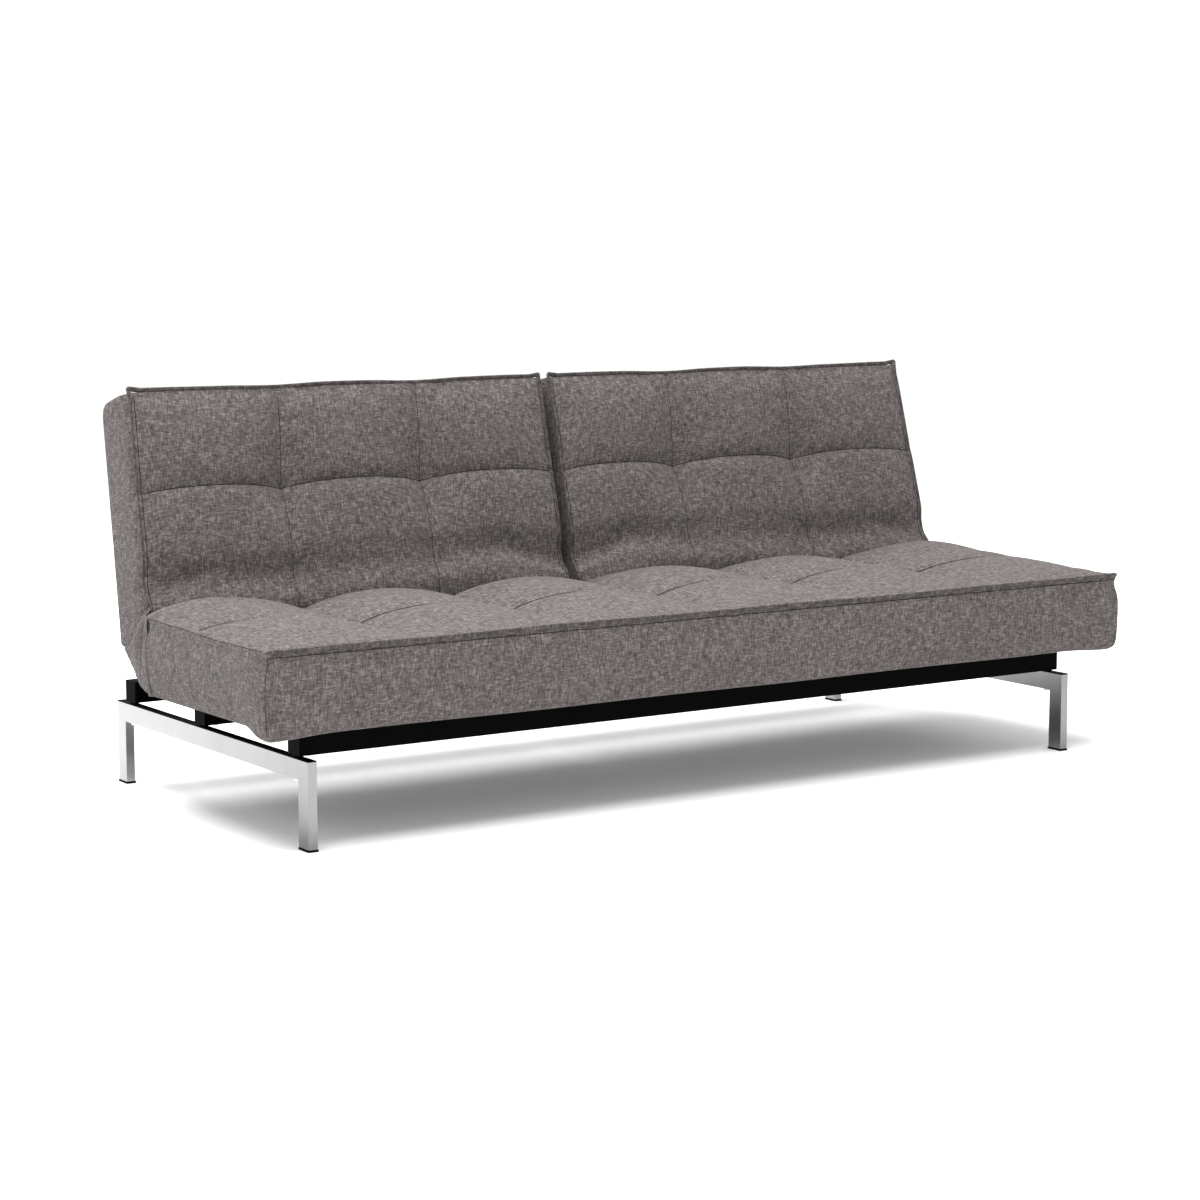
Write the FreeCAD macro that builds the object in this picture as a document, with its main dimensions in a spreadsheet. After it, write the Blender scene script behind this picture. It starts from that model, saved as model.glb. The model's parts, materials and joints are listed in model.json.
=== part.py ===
"""Futon sofa bed with a fixed seat and two backs that recline one by one.

Frame: x across the seat, y from the seat's front (-) to the rear (+), z up, origin on the
floor under the middle of the bed's footprint. Lengths are in millimetres, angles in degrees.
The parts of a back are drawn lying flat about the hinge axis and then turned up to the lean angle.
"""
import os

import FreeCAD
import Part
import Sketcher

DIMENSIONS = {
    # overall places
    "seat_width": 2100, "seat_front": -438, "frame_front": -401, "frame_rear": 437,
    # leg frames: flat tube bent into an inverted U
    "leg_outer_x": 946, "leg_tube_width": 19, "leg_tube_depth": 38, "leg_wall": 1.5,
    "foot_height": 4, "foot_lip": 1, "bar_top": 169.7, "strip_thick": 2.3, "spacer_thick": 4,
    "spacer_radius": 9, "foot_plug_height": 20,
    # rails
    "rail_depth": 45, "rail_height": 44, "rail_wall": 1.5, "rail_half_length": 943,
    "front_rail_y": -343.5, "middle_rail_y": 52.5, "rear_rail_y": 374.5,
    "cap_thick": 2, "cap_plug_length": 12, "cap_plug_height": 26,
    # fasteners
    "bolt_radius": 4, "bolt_hole": 4.2, "bolt_head_radius": 7, "bolt_head": 4, "nut_radius": 6.5,
    "nut_thick": 6.5, "screw_radius": 3, "screw_hole": 3.2, "screw_head_radius": 6,
    # seat arms on the rails
    "arm_size": 20, "arm_wall": 1.5, "arm_front": -385, "arm_rear": 162,
    "inner_arm_x": 20, "outer_arm_x": 900,
    # hinge
    "pivot_y": 186, "pivot_z": 340, "lean": 76.2, "plate_thick": 4, "plate_gap": 0.4,
    "plate_boss": 24, "plate_front": 72,
    "plate_rear": 158, "moving_boss": 22, "pivot_radius": 6, "running_gap": 0.05,
    "pivot_head_radius": 10, "pivot_head": 5, "pivot_nut": 6.2,
    # ratchet
    "ratchet_tip": 30, "ratchet_root": 26.2, "ratchet_thick": 5, "tooth_pitch": 7.62,
    "first_notch": -107.2, "notch_half": 3.2, "pawl_u": 40, "pawl_v": -40, "pawl_boss": 7,
    "pawl_thick": 4, "pin_radius": 3, "spring_radius": 5, "spring_wire": 0.6, "spring_pitch": 1.4,
    "spring_length": 4.2,
    # seat box and cushion
    "board_thick": 20, "board_bottom": 241, "board_top": 283, "lip_bottom": 230,
    "dust_thick": 1, "slat_width": 53, "slat_thick": 8, "slat_bottom": 274,
    "holder_wall": 3, "holder_depth": 20, "seat_bottom": 284, "seat_top": 396,
    "seat_rear": 139, "seat_waist": 127, "waist_high": 345, "waist_low": 322, "seat_rear_low": 115,
    "corner_start": 84, "rear_board_y": 52, "seat_corner": 38, "cover_thick": 2,
    # backs
    "back_inner_x": 12, "back_outer_x": 1007, "back_taper": 23, "back_length": 491,
    "knuckle": 48, "pad_bottom": -29.7, "slot_top": 36, "slot_length": 62,
    "tube": 25, "tube_wall": 1.5, "tube_bottom": -63, "first_rail_u": 50, "last_rail_u": 455,
    "upright_width": 20, "middle_upright_x": 460, "back_slat_start": 130, "back_slat_pitch": 170,
    "rear_pad_front": -63.4, "rear_pad_top": -100, "rear_pad_deep": -97,
    "rest_pad_radius": 15, "rest_pad_height": 21, "rest_pad_inner_x": 250,
    "rest_pad_outer_x": 750,
}

SIDES = {"left": -1, "right": 1}
HINGES = ("inner", "outer")

doc = FreeCAD.newDocument("FutonSofaBed")
sheet = doc.addObject("Spreadsheet::Sheet", "Dims")
for row, (alias, number) in enumerate(DIMENSIONS.items(), start=1):
    sheet.set(f"A{row}", alias)
    sheet.set(f"B{row}", str(number))
    sheet.setAlias(f"B{row}", alias)
doc.recompute()

NODES = []


# ---------------------------------------------------------------- helpers
def dims(text):
    """Turn words that are aliases into references to the sheet."""
    words = []
    word = ""
    for letter in text + " ":
        if letter.isalnum() or letter == "_" or letter == ".":
            word += letter
            continue
        words.append(f"Dims.{word}" if word in DIMENSIONS else word)
        words.append(letter)
        word = ""
    return "".join(words).strip()


def number(text):
    """Value of an expression in the sheet's dimensions."""
    return float(sheet.evalExpression(dims(text)))


def node(thing, label):
    """Name an object and list it as a sub-part."""
    thing.Label = label
    NODES.append(thing)
    return thing


def new_body(name):
    return doc.addObject("PartDesign::Body", name)


def plane_of(body, role):
    return next(item for item in body.Origin.OriginFeatures if item.Role == role)


def add_polygon(sketch, points):
    """Closed outline whose corners are tied to the origin by expressions."""
    corners = [FreeCAD.Vector(number(across), number(up), 0) for across, up in points]
    count = len(corners)
    first = sketch.GeometryCount
    for index, corner in enumerate(corners):
        sketch.addGeometry(Part.LineSegment(corner, corners[(index + 1) % count]), False)
    for index in range(count):
        following = first + (index + 1) % count
        sketch.addConstraint(Sketcher.Constraint("Coincident", first + index, 2, following, 1))
    for index, (point, corner) in enumerate(zip(points, corners)):
        for kind, text, value in (("DistanceX", point[0], corner.x),
                                  ("DistanceY", point[1], corner.y)):
            rule = Sketcher.Constraint(kind, -1, 1, first + index, 1, value)
            place = sketch.addConstraint(rule)
            sketch.setExpression(f"Constraints[{place}]", dims(text))


def add_circle(sketch, across, up, radius):
    """Circle tied to the origin by expressions."""
    centre = FreeCAD.Vector(number(across), number(up), 0)
    circle = Part.Circle(centre, FreeCAD.Vector(0, 0, 1), number(radius))
    index = sketch.addGeometry(circle, False)
    for kind, text, value in (("DistanceX", across, centre.x), ("DistanceY", up, centre.y)):
        place = sketch.addConstraint(Sketcher.Constraint(kind, -1, 1, index, 3, value))
        sketch.setExpression(f"Constraints[{place}]", dims(text))
    place = sketch.addConstraint(Sketcher.Constraint("Radius", index, number(radius)))
    sketch.setExpression(f"Constraints[{place}]", dims(radius))


def rectangle(low_a, high_a, low_b, high_b):
    return [(low_a, low_b), (high_a, low_b), (high_a, high_b), (low_a, high_b)]


def add_sketch(body, role, start, outlines):
    """Sketch on an origin plane of the body, moved along the plane's normal by start."""
    sketch = body.newObject("Sketcher::SketchObject", f"{body.Name}_sketch")
    sketch.AttachmentSupport = [(plane_of(body, role), "")]
    sketch.MapMode = "FlatFace"
    sketch.setExpression("AttachmentOffset.Base.z", dims(start))
    for outline in outlines:
        if outline[0] == "circle":
            add_circle(sketch, *outline[1:])
        else:
            add_polygon(sketch, outline)
    return sketch


def add_pad(body, role, start, length, *outlines):
    """Pad outlines from start, along the plane's normal, by length."""
    pad = body.newObject("PartDesign::Pad", f"{body.Name}_pad")
    pad.Profile = add_sketch(body, role, start, outlines)
    pad.setExpression("Length", dims(length))
    return pad


def add_pocket(body, role, start, length, *outlines):
    """Cut outlines from start, along the plane's normal, by length, and check that it cuts."""
    doc.recompute()
    before = body.Shape.Volume
    pocket = body.newObject("PartDesign::Pocket", f"{body.Name}_pocket")
    pocket.Profile = add_sketch(body, role, start, outlines)
    pocket.Reversed = True
    pocket.setExpression("Length", dims(length))
    doc.recompute()
    if not body.Shape.Volume < before:
        raise RuntimeError(f"{body.Name}: a pocket removes nothing")
    return pocket


def box(name, low, size):
    """Part::Box from expressions for its low corner and its size."""
    block = doc.addObject("Part::Box", name)
    for field, text in zip(("Length", "Width", "Height"), size):
        block.setExpression(field, dims(text))
    for axis, text in zip("xyz", low):
        block.setExpression(f"Placement.Base.{axis}", dims(text))
    return block


def cylinder(name, axis, low, length, radius):
    """Part::Cylinder along x, y or z; low is the centre of its low end."""
    rod = doc.addObject("Part::Cylinder", name)
    rod.setExpression("Radius", dims(radius))
    rod.setExpression("Height", dims(length))
    turns = {"x": ((0, 1, 0), 90), "y": ((1, 0, 0), -90), "z": ((0, 0, 1), 0)}
    turn_axis, angle = turns[axis]
    rotation = FreeCAD.Rotation(FreeCAD.Vector(*turn_axis), angle)
    rod.Placement = FreeCAD.Placement(FreeCAD.Vector(0, 0, 0), rotation)
    for letter, text in zip("xyz", low):
        rod.setExpression(f"Placement.Base.{letter}", dims(text))
    return rod


def fuse(name, things):
    union = doc.addObject("Part::MultiFuse", name)
    union.Shapes = things
    return union


def cut(name, base, tool):
    difference = doc.addObject("Part::Cut", name)
    difference.Base = base
    difference.Tool = tool
    return difference


def group(name, things):
    """Separate solids kept together as one sub-part."""
    compound = doc.addObject("Part::Compound", name)
    compound.Links = things
    return compound


def span(sign, low, high):
    """Start and length of the stretch from low to high, on the left where sign is -1."""
    start = low if sign > 0 else f"-({high})"
    return start, f"({high}) - ({low})"


def across(sign, text):
    return text if sign > 0 else f"-({text})"


def stand_up(thing):
    """Turn a part drawn flat about the hinge axis up to the lean of an upright back."""
    tilt = FreeCAD.Rotation(FreeCAD.Vector(1, 0, 0), number("lean"))
    thing.Placement = FreeCAD.Placement(FreeCAD.Vector(0, 0, 0), tilt)
    thing.setExpression("Placement.Rotation.Angle", dims("lean"))
    thing.setExpression("Placement.Base.y", dims("pivot_y"))
    thing.setExpression("Placement.Base.z", dims("pivot_z"))
    return thing


def at_pivot(thing):
    """Move a fixed part drawn about the hinge axis to the hinge."""
    thing.setExpression("Placement.Base.y", dims("pivot_y"))
    thing.setExpression("Placement.Base.z", dims("pivot_z"))
    return thing


# ---------------------------------------------------------------- heights and hinge places
RAIL_BOTTOM = "(bar_top + strip_thick + spacer_thick)"
RAIL_TOP = f"({RAIL_BOTTOM} + rail_height)"
LEG_MIDDLE_X = "(leg_outer_x - leg_tube_width / 2)"
RAILS = {"front": "front_rail_y", "middle": "middle_rail_y", "rear": "rear_rail_y"}

# x stretches of the hinge layers: seat arm, fixed plate, moving arm
ARM_X = {"inner": "inner_arm_x", "outer": "outer_arm_x"}
ARM_MIDDLE_X = {"inner": "(inner_arm_x + arm_size / 2)", "outer": "(outer_arm_x + arm_size / 2)"}
PLATE_X = {"inner": "(inner_arm_x + arm_size)", "outer": "(outer_arm_x - plate_thick)"}
MOVING_X = {
    "inner": "(inner_arm_x + arm_size + plate_thick + plate_gap)",
    "outer": "(outer_arm_x - 2 * plate_thick - plate_gap)",
}
SLOT_X = {
    "inner": ("0", "(inner_arm_x + 42)"),
    "outer": ("(outer_arm_x - 20)", "(outer_arm_x + 22)"),
}
UPRIGHT_X = {
    "inner": f"({MOVING_X['inner']} + plate_thick)",
    "middle": "middle_upright_x",
    "outer": f"({MOVING_X['outer']} - upright_width)",
}
PAWL_X = "(outer_arm_x + 0.4)"
NOTCH_COUNT = 12
HINGE_BOLT_U = {"near": "110", "far": "165"}
HINGE_BOLT_V = "-51"


# ---------------------------------------------------------------- leg frames
def leg_frame(side, sign):
    """Inverted U of flat tube, open at the feet, with a bolt hole under each rail."""
    body = new_body(f"leg_frame_{side}")
    start, width = span(sign, "leg_outer_x - leg_tube_width", "leg_outer_x")

    def loop(inset):
        front, rear = f"frame_front + {inset}", f"frame_rear - {inset}"
        inner_front = f"frame_front + leg_tube_depth - {inset}"
        inner_rear = f"frame_rear - leg_tube_depth + {inset}"
        top = f"bar_top - {inset}"
        under = f"bar_top - leg_tube_depth + {inset}"
        return [(front, "foot_height"), (inner_front, "foot_height"), (inner_front, under),
                (inner_rear, under), (inner_rear, "foot_height"), (rear, "foot_height"),
                (rear, top), (front, top)]

    add_pad(body, "YZ_Plane", start, width, loop("0"))
    inner_start, inner_width = span(
        sign, "leg_outer_x - leg_tube_width + leg_wall", "leg_outer_x - leg_wall")
    add_pocket(body, "YZ_Plane", inner_start, inner_width, loop("leg_wall"))
    holes = [("circle", across(sign, LEG_MIDDLE_X), y, "bolt_hole") for y in RAILS.values()]
    add_pocket(body, "XY_Plane", "bar_top - leg_tube_depth - 1", "leg_tube_depth + 2", *holes)
    node(body, f"leg_frame_{side}")


def leg_strips():
    """Thin black strip on the top bar of each leg frame."""
    strips = []
    for side, sign in SIDES.items():
        body = new_body(f"strip_{side}")
        low, high = "leg_outer_x - leg_tube_width", "leg_outer_x"
        outline = rectangle(across(sign, low), across(sign, high), "frame_front", "frame_rear")
        holes = [("circle", across(sign, LEG_MIDDLE_X), y, "bolt_hole") for y in RAILS.values()]
        add_pad(body, "XY_Plane", "bar_top", "strip_thick", outline, *holes)
        strips.append(body)
    node(group("leg_frame_strips", strips), "leg_frame_strips")


def foot(end, side, sign):
    """Foot cap: a lip on the floor and a plug that fills the tube's end."""
    body = new_body(f"foot_{end}_{side}")
    low = "frame_front" if end == "front" else "frame_rear - leg_tube_depth"
    high = "frame_front + leg_tube_depth" if end == "front" else "frame_rear"
    inner, outer = "leg_outer_x - leg_tube_width", "leg_outer_x"
    lip = rectangle(across(sign, f"{inner} - foot_lip"), across(sign, f"{outer} + foot_lip"),
                    f"{low} - foot_lip", f"{high} + foot_lip")
    plug = rectangle(across(sign, f"{inner} + leg_wall"), across(sign, f"{outer} - leg_wall"),
                     f"{low} + leg_wall", f"{high} - leg_wall")
    add_pad(body, "XY_Plane", "0", "foot_height", lip)
    add_pad(body, "XY_Plane", "foot_height", "foot_plug_height", plug)
    node(body, f"foot_{end}_{side}")


# ---------------------------------------------------------------- rails
def rail(name, y):
    """Black box-section rail with holes for the leg bolts and the seat-arm bolts."""
    body = new_body(f"{name}_rail")
    bottom, top = RAIL_BOTTOM, RAIL_TOP
    outer = rectangle(f"{y} - rail_depth / 2", f"{y} + rail_depth / 2", bottom, top)
    inner = rectangle(f"{y} - rail_depth / 2 + rail_wall", f"{y} + rail_depth / 2 - rail_wall",
                      f"{bottom} + rail_wall", f"{top} - rail_wall")
    add_pad(body, "YZ_Plane", "-rail_half_length", "2 * rail_half_length", outer, inner)
    legs = [("circle", across(sign, LEG_MIDDLE_X), y, "bolt_hole") for sign in SIDES.values()]
    add_pocket(body, "XY_Plane", f"{bottom} - 1", "rail_wall + 2", *legs)
    if name != "rear":
        arms = [("circle", across(sign, x), y, "bolt_hole")
                for sign in SIDES.values() for x in ARM_MIDDLE_X.values()]
        add_pocket(body, "XY_Plane", f"{bottom} - 1", "rail_height + 2", *arms)
    node(body, f"{name}_rail")


def rail_end_caps():
    """Plastic caps in the rail ends; each plug sits above the leg bolt's nut."""
    caps = []
    for name, y in RAILS.items():
        for side, sign in SIDES.items():
            body = new_body(f"cap_{name}_{side}")
            start, length = span(sign, "rail_half_length", "rail_half_length + cap_thick")
            face = rectangle(f"{y} - rail_depth / 2", f"{y} + rail_depth / 2", RAIL_BOTTOM, RAIL_TOP)
            add_pad(body, "YZ_Plane", start, length, face)
            start, length = span(sign, "rail_half_length - cap_plug_length", "rail_half_length")
            plug_top = f"{RAIL_TOP} - rail_wall"
            plug = rectangle(f"{y} - rail_depth / 2 + rail_wall", f"{y} + rail_depth / 2 - rail_wall",
                             f"{plug_top} - cap_plug_height", plug_top)
            add_pad(body, "YZ_Plane", start, length, plug)
            caps.append(body)
    node(group("rail_end_caps", caps), "rail_end_caps")


def leg_joint_parts():
    """Spacer, bolt and nut where each rail crosses each leg frame."""
    spacers, bolts, nuts = [], [], []
    for name, y in RAILS.items():
        for side, sign in SIDES.items():
            x = across(sign, LEG_MIDDLE_X)
            spacer = new_body(f"spacer_{name}_{side}")
            add_pad(spacer, "XY_Plane", "bar_top + strip_thick", "spacer_thick",
                    ("circle", x, y, "spacer_radius"), ("circle", x, y, "bolt_hole"))
            spacers.append(spacer)
            under = "bar_top - leg_tube_depth"
            bolts.append(upright_bolt(f"leg_bolt_{name}_{side}", x, y, under,
                                      f"{RAIL_BOTTOM} + rail_wall + nut_thick + 3"))
            nuts.append(upright_nut(f"leg_nut_{name}_{side}", x, y, f"{RAIL_BOTTOM} + rail_wall"))
    node(group("rail_spacers", spacers), "rail_spacers")
    node(group("leg_bolts", bolts), "leg_bolts")
    node(group("leg_nuts", nuts), "leg_nuts")


def upright_bolt(name, x, y, seat, tip, head_radius="bolt_head_radius", radius="bolt_radius"):
    """Bolt with its head under seat and its shank up to tip."""
    body = new_body(name)
    add_pad(body, "XY_Plane", f"{seat} - bolt_head", "bolt_head", ("circle", x, y, head_radius))
    add_pad(body, "XY_Plane", seat, f"({tip}) - ({seat})", ("circle", x, y, radius))
    return body


def upright_nut(name, x, y, bottom):
    body = new_body(name)
    add_pad(body, "XY_Plane", bottom, "nut_thick",
            ("circle", x, y, "nut_radius"), ("circle", x, y, "bolt_radius"))
    return body


# ---------------------------------------------------------------- seat arms and hinge plates
SEAT_SCREW_Y = {"front": "-250", "rear": "-50"}
PLATE_BOLT_Y = {"front": "90", "rear": "145"}
ARM_MIDDLE_Z = f"({RAIL_TOP} + arm_size / 2)"


def seat_arm(hinge, side, sign):
    """Square tube along y on top of the front and middle rails."""
    body = new_body(f"seat_arm_{hinge}_{side}")
    x = ARM_X[hinge]
    low, high = RAIL_TOP, f"{RAIL_TOP} + arm_size"
    outer = rectangle(across(sign, x), across(sign, f"{x} + arm_size"), low, high)
    inner = rectangle(across(sign, f"{x} + arm_wall"), across(sign, f"{x} + arm_size - arm_wall"),
                      f"{low} + arm_wall", f"{high} - arm_wall")
    add_pad(body, "XZ_Plane", "-arm_rear", "arm_rear - arm_front", outer, inner)
    middle = across(sign, ARM_MIDDLE_X[hinge])
    bolt_holes = [("circle", middle, RAILS[name], "bolt_hole") for name in ("front", "middle")]
    add_pocket(body, "XY_Plane", f"{low} - 1", "arm_wall + 2", *bolt_holes)
    screw_holes = [("circle", middle, y, "screw_hole") for y in SEAT_SCREW_Y.values()]
    add_pocket(body, "XY_Plane", f"{low} - 1", "arm_size + 2", *screw_holes)
    start, length = span(sign, f"{x} - 1", f"{x} + arm_size + 1")
    side_holes = [("circle", y, ARM_MIDDLE_Z, "screw_hole") for y in PLATE_BOLT_Y.values()]
    add_pocket(body, "YZ_Plane", start, length, *side_holes)
    return body


def seat_arms():
    for hinge in HINGES:
        arms = [seat_arm(hinge, side, sign) for side, sign in SIDES.items()]
        node(group(f"seat_arms_{hinge}", arms), f"seat_arms_{hinge}")


def seat_arm_fasteners():
    """Bolts and nuts that hold the arms on the rails, and screws up into the seat box."""
    bolts, nuts, screws = [], [], []
    for side, sign in SIDES.items():
        for hinge in HINGES:
            x = across(sign, ARM_MIDDLE_X[hinge])
            for name in ("front", "middle"):
                tag = f"{name}_{hinge}_{side}"
                inside = f"{RAIL_TOP} + arm_wall"
                bolts.append(upright_bolt(f"arm_bolt_{tag}", x, RAILS[name], RAIL_BOTTOM,
                                          f"{inside} + nut_thick + 3"))
                nuts.append(upright_nut(f"arm_nut_{tag}", x, RAILS[name], inside))
            for end, y in SEAT_SCREW_Y.items():
                screws.append(upright_bolt(f"seat_screw_{end}_{hinge}_{side}", x, y, RAIL_TOP,
                                           "board_bottom + 22", "screw_head_radius", "screw_radius"))
    node(group("arm_bolts", bolts), "arm_bolts")
    node(group("arm_nuts", nuts), "arm_nuts")
    node(group("seat_screws", screws), "seat_screws")


def hinge_plate(hinge, side, sign):
    """Fixed plate that rises from a seat arm to the hinge axis."""
    body = new_body(f"hinge_plate_{hinge}_{side}")
    start, length = span(sign, PLATE_X[hinge], f"{PLATE_X[hinge]} + plate_thick")
    low, high = f"{RAIL_TOP} + 1", f"{RAIL_TOP} + arm_size - 1"
    outline = [("plate_front", low), ("plate_rear", low), ("pivot_y + 22", "pivot_z - 8"),
               ("pivot_y - 23", "pivot_z - 4"), ("plate_front + 50", f"{high} + 11"),
               ("plate_front", high)]
    add_pad(body, "YZ_Plane", start, length, outline)
    add_pad(body, "YZ_Plane", start, length, ("circle", "pivot_y", "pivot_z", "plate_boss"))
    holes = [("circle", y, ARM_MIDDLE_Z, "screw_radius") for y in PLATE_BOLT_Y.values()]
    holes.append(("circle", "pivot_y", "pivot_z", "pivot_radius"))
    add_pocket(body, "YZ_Plane", f"{start} - 1", f"{length} + 2", *holes)
    return body


def hinge_plates():
    for hinge in HINGES:
        plates = [hinge_plate(hinge, side, sign) for side, sign in SIDES.items()]
        node(group(f"hinge_plates_{hinge}", plates), f"hinge_plates_{hinge}")


def crosswise_bolt(name, sign, y, z, points, radius, head_radius):
    """Bolt along x through four x values: head end, head seat, shank end, nut end, nut included."""
    head_end, head_seat, tip, nut_seat = points
    body = new_body(name)
    for low, high, size in ((head_end, head_seat, head_radius), (head_seat, tip, radius)):
        if number(low) > number(high):
            low, high = high, low
        start, length = span(sign, low, high)
        add_pad(body, "YZ_Plane", start, length, ("circle", y, z, size))
    low, high = nut_seat, tip
    if number(low) > number(high):
        low, high = high, low
    start, length = span(sign, low, high)
    add_pad(body, "YZ_Plane", start, length, ("circle", y, z, head_radius))
    return body


def hinge_plate_bolts():
    """Bolts with round nuts through each seat arm and its hinge plate."""
    bolts = []
    for side, sign in SIDES.items():
        for end, y in PLATE_BOLT_Y.items():
            inner = ("inner_arm_x - bolt_head", "inner_arm_x",
                     f"{PLATE_X['inner']} + plate_thick + bolt_head", f"{PLATE_X['inner']} + plate_thick")
            outer = ("outer_arm_x + arm_size + bolt_head", "outer_arm_x + arm_size",
                     f"{PLATE_X['outer']} - bolt_head", PLATE_X["outer"])
            for hinge, points in (("inner", inner), ("outer", outer)):
                bolts.append(crosswise_bolt(f"plate_bolt_{end}_{hinge}_{side}", sign, y, ARM_MIDDLE_Z,
                                            points, "screw_radius", "screw_head_radius"))
    node(group("hinge_plate_bolts", bolts), "hinge_plate_bolts")


def pivot_bolts():
    """Shoulder bolt of each hinge; the moving arm turns on its shank."""
    bolts = []
    for side, sign in SIDES.items():
        inner_nut = f"{MOVING_X['inner']} + plate_thick + plate_gap"
        outer_nut = f"{MOVING_X['outer']} - plate_gap"
        inner = (f"{PLATE_X['inner']} - pivot_head", PLATE_X["inner"],
                 f"{inner_nut} + pivot_nut", inner_nut)
        outer = ("outer_arm_x + ratchet_thick + pivot_head", "outer_arm_x + ratchet_thick",
                 f"{outer_nut} - pivot_nut", outer_nut)
        for hinge, points in (("inner", inner), ("outer", outer)):
            bolts.append(crosswise_bolt(f"pivot_bolt_{hinge}_{side}", sign, "pivot_y", "pivot_z",
                                        points, "pivot_radius", "pivot_head_radius"))
    node(group("pivot_bolts", bolts), "pivot_bolts")


def ratchet_sector(side, sign):
    """Toothed disc on the outer hinge plate; the notches are a polar pattern about the hinge axis."""
    body = new_body(f"ratchet_sector_{side}")
    start, length = span(sign, "outer_arm_x", "outer_arm_x + ratchet_thick")
    add_pad(body, "YZ_Plane", start, length,
            ("circle", "0", "0", "ratchet_tip"), ("circle", "0", "0", "pivot_radius"))
    reach = "(ratchet_tip + 1)"
    early, late = "(first_notch - notch_half)", "(first_notch + notch_half)"
    notch = [(f"{reach} * cos({early} * 1deg)", f"{reach} * sin({early} * 1deg)"),
             (f"{reach} * cos({late} * 1deg)", f"{reach} * sin({late} * 1deg)"),
             ("ratchet_root * cos(first_notch * 1deg)", "ratchet_root * sin(first_notch * 1deg)")]
    pocket = add_pocket(body, "YZ_Plane", start, length, notch)
    pattern = body.newObject("PartDesign::PolarPattern", f"{body.Name}_pattern")
    pattern.Originals = [pocket]
    pattern.Axis = (plane_of(body, "X_Axis"), [""])
    pattern.Occurrences = NOTCH_COUNT
    pattern.setExpression("Angle", dims(f"{NOTCH_COUNT - 1} * tooth_pitch"))
    body.Tip = pattern
    node(at_pivot(body), f"ratchet_sector_{side}")


# ---------------------------------------------------------------- seat
BOARD_FRONT = "(seat_front + 6)"
SEAT_SLAT_X = ("100", "235", "370", "550", "685", "820")
CROSS_BOARD_X = ("inner_arm_x", "middle_upright_x - 10", "outer_arm_x")


def seat_box():
    """Timber box under the seat cushion."""
    half = "(seat_width / 2 - 8)"
    tall = "board_top - board_bottom"
    node(box("seat_front_board", (f"-{half}", BOARD_FRONT, "lip_bottom"),
             (f"2 * {half}", "board_thick", "board_top - lip_bottom")), "seat_front_board")
    node(box("seat_rear_board", (f"-{half}", "rear_board_y", "board_bottom"),
             (f"2 * {half}", "board_thick", tall)), "seat_rear_board")
    inside = f"{BOARD_FRONT} + board_thick"
    depth = f"rear_board_y - ({inside})"
    sides = []
    for side, sign in SIDES.items():
        start, width = span(sign, f"{half} - board_thick", half)
        sides.append(box(f"side_board_{side}", (start, inside, "board_bottom"), (width, depth, tall)))
    node(group("seat_side_boards", sides), "seat_side_boards")
    crosses = []
    for side, sign in SIDES.items():
        for index, x in enumerate(CROSS_BOARD_X):
            start, width = span(sign, x, f"{x} + board_thick")
            board = box(f"cross_blank_{index}_{side}", (start, inside, "board_bottom"),
                        (width, depth, tall))
            if x in ARM_X.values():
                middle = across(sign, f"{x} + board_thick / 2")
                holes = [cylinder(f"cross_hole_{index}_{end}_{side}", "z",
                                  (middle, y, "board_bottom"), "22", "screw_radius")
                         for end, y in SEAT_SCREW_Y.items()]
                board = cut(f"cross_board_{index}_{side}", board,
                            fuse(f"cross_holes_{index}_{side}", holes))
            crosses.append(board)
    node(group("seat_cross_boards", crosses), "seat_cross_boards")


def seat_slats():
    """Birch slats from the front board to the rear board, each end in a plastic holder."""
    slats, holders = [], []
    inside, depth = f"({BOARD_FRONT} + board_thick)", f"(rear_board_y - {BOARD_FRONT} - board_thick)"
    for side, sign in SIDES.items():
        for index, x in enumerate(SEAT_SLAT_X):
            low, high = f"{x} - slat_width / 2", f"{x} + slat_width / 2"
            start, width = span(sign, low, high)
            slats.append(box(f"seat_slat_{index}_{side}", (start, inside, "slat_bottom"),
                             (width, depth, "slat_thick")))
            for end, y in (("front", inside), ("rear", "rear_board_y - holder_depth")):
                body = new_body(f"holder_{end}_{index}_{side}")
                rim = rectangle(across(sign, f"{low} - holder_wall"), across(sign, f"{high} + holder_wall"),
                                "slat_bottom - holder_wall", "board_top")
                mouth = rectangle(across(sign, low), across(sign, high),
                                  "slat_bottom", "slat_bottom + slat_thick")
                add_pad(body, "XZ_Plane", f"-({y}) - holder_depth", "holder_depth", rim, mouth)
                holders.append(body)
    node(group("seat_slats", slats), "seat_slats")
    node(group("seat_slat_holders", holders), "seat_slat_holders")


def seat_solid(name, inset):
    """Seat cushion outline, drawn inset all round; the rear corners are cut back towards the backs."""
    body = new_body(name)
    half = f"(seat_width / 2 - {inset})"
    front, top, bottom = f"(seat_front + {inset})", f"(seat_top - {inset})", f"(seat_bottom + {inset})"
    profile = [(front, bottom), (front, f"{top} - 8"), (f"{front} + 8", top),
               (f"seat_rear - {inset}", top), (f"seat_waist - {inset}", "waist_high"),
               (f"seat_waist - {inset}", "waist_low"), (f"seat_rear_low - {inset}", bottom)]
    add_pad(body, "YZ_Plane", f"-{half}", f"2 * {half}", profile)
    behind = "seat_rear + 11"
    corners = [[(across(sign, half), "corner_start"), (across(sign, f"{half} + 10"), "corner_start"),
                (across(sign, f"{half} + 10"), behind), (across(sign, f"{half} - seat_corner"), behind)]
               for sign in SIDES.values()]
    add_pocket(body, "XY_Plane", "seat_bottom - 10", "150", *corners)
    return body


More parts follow.
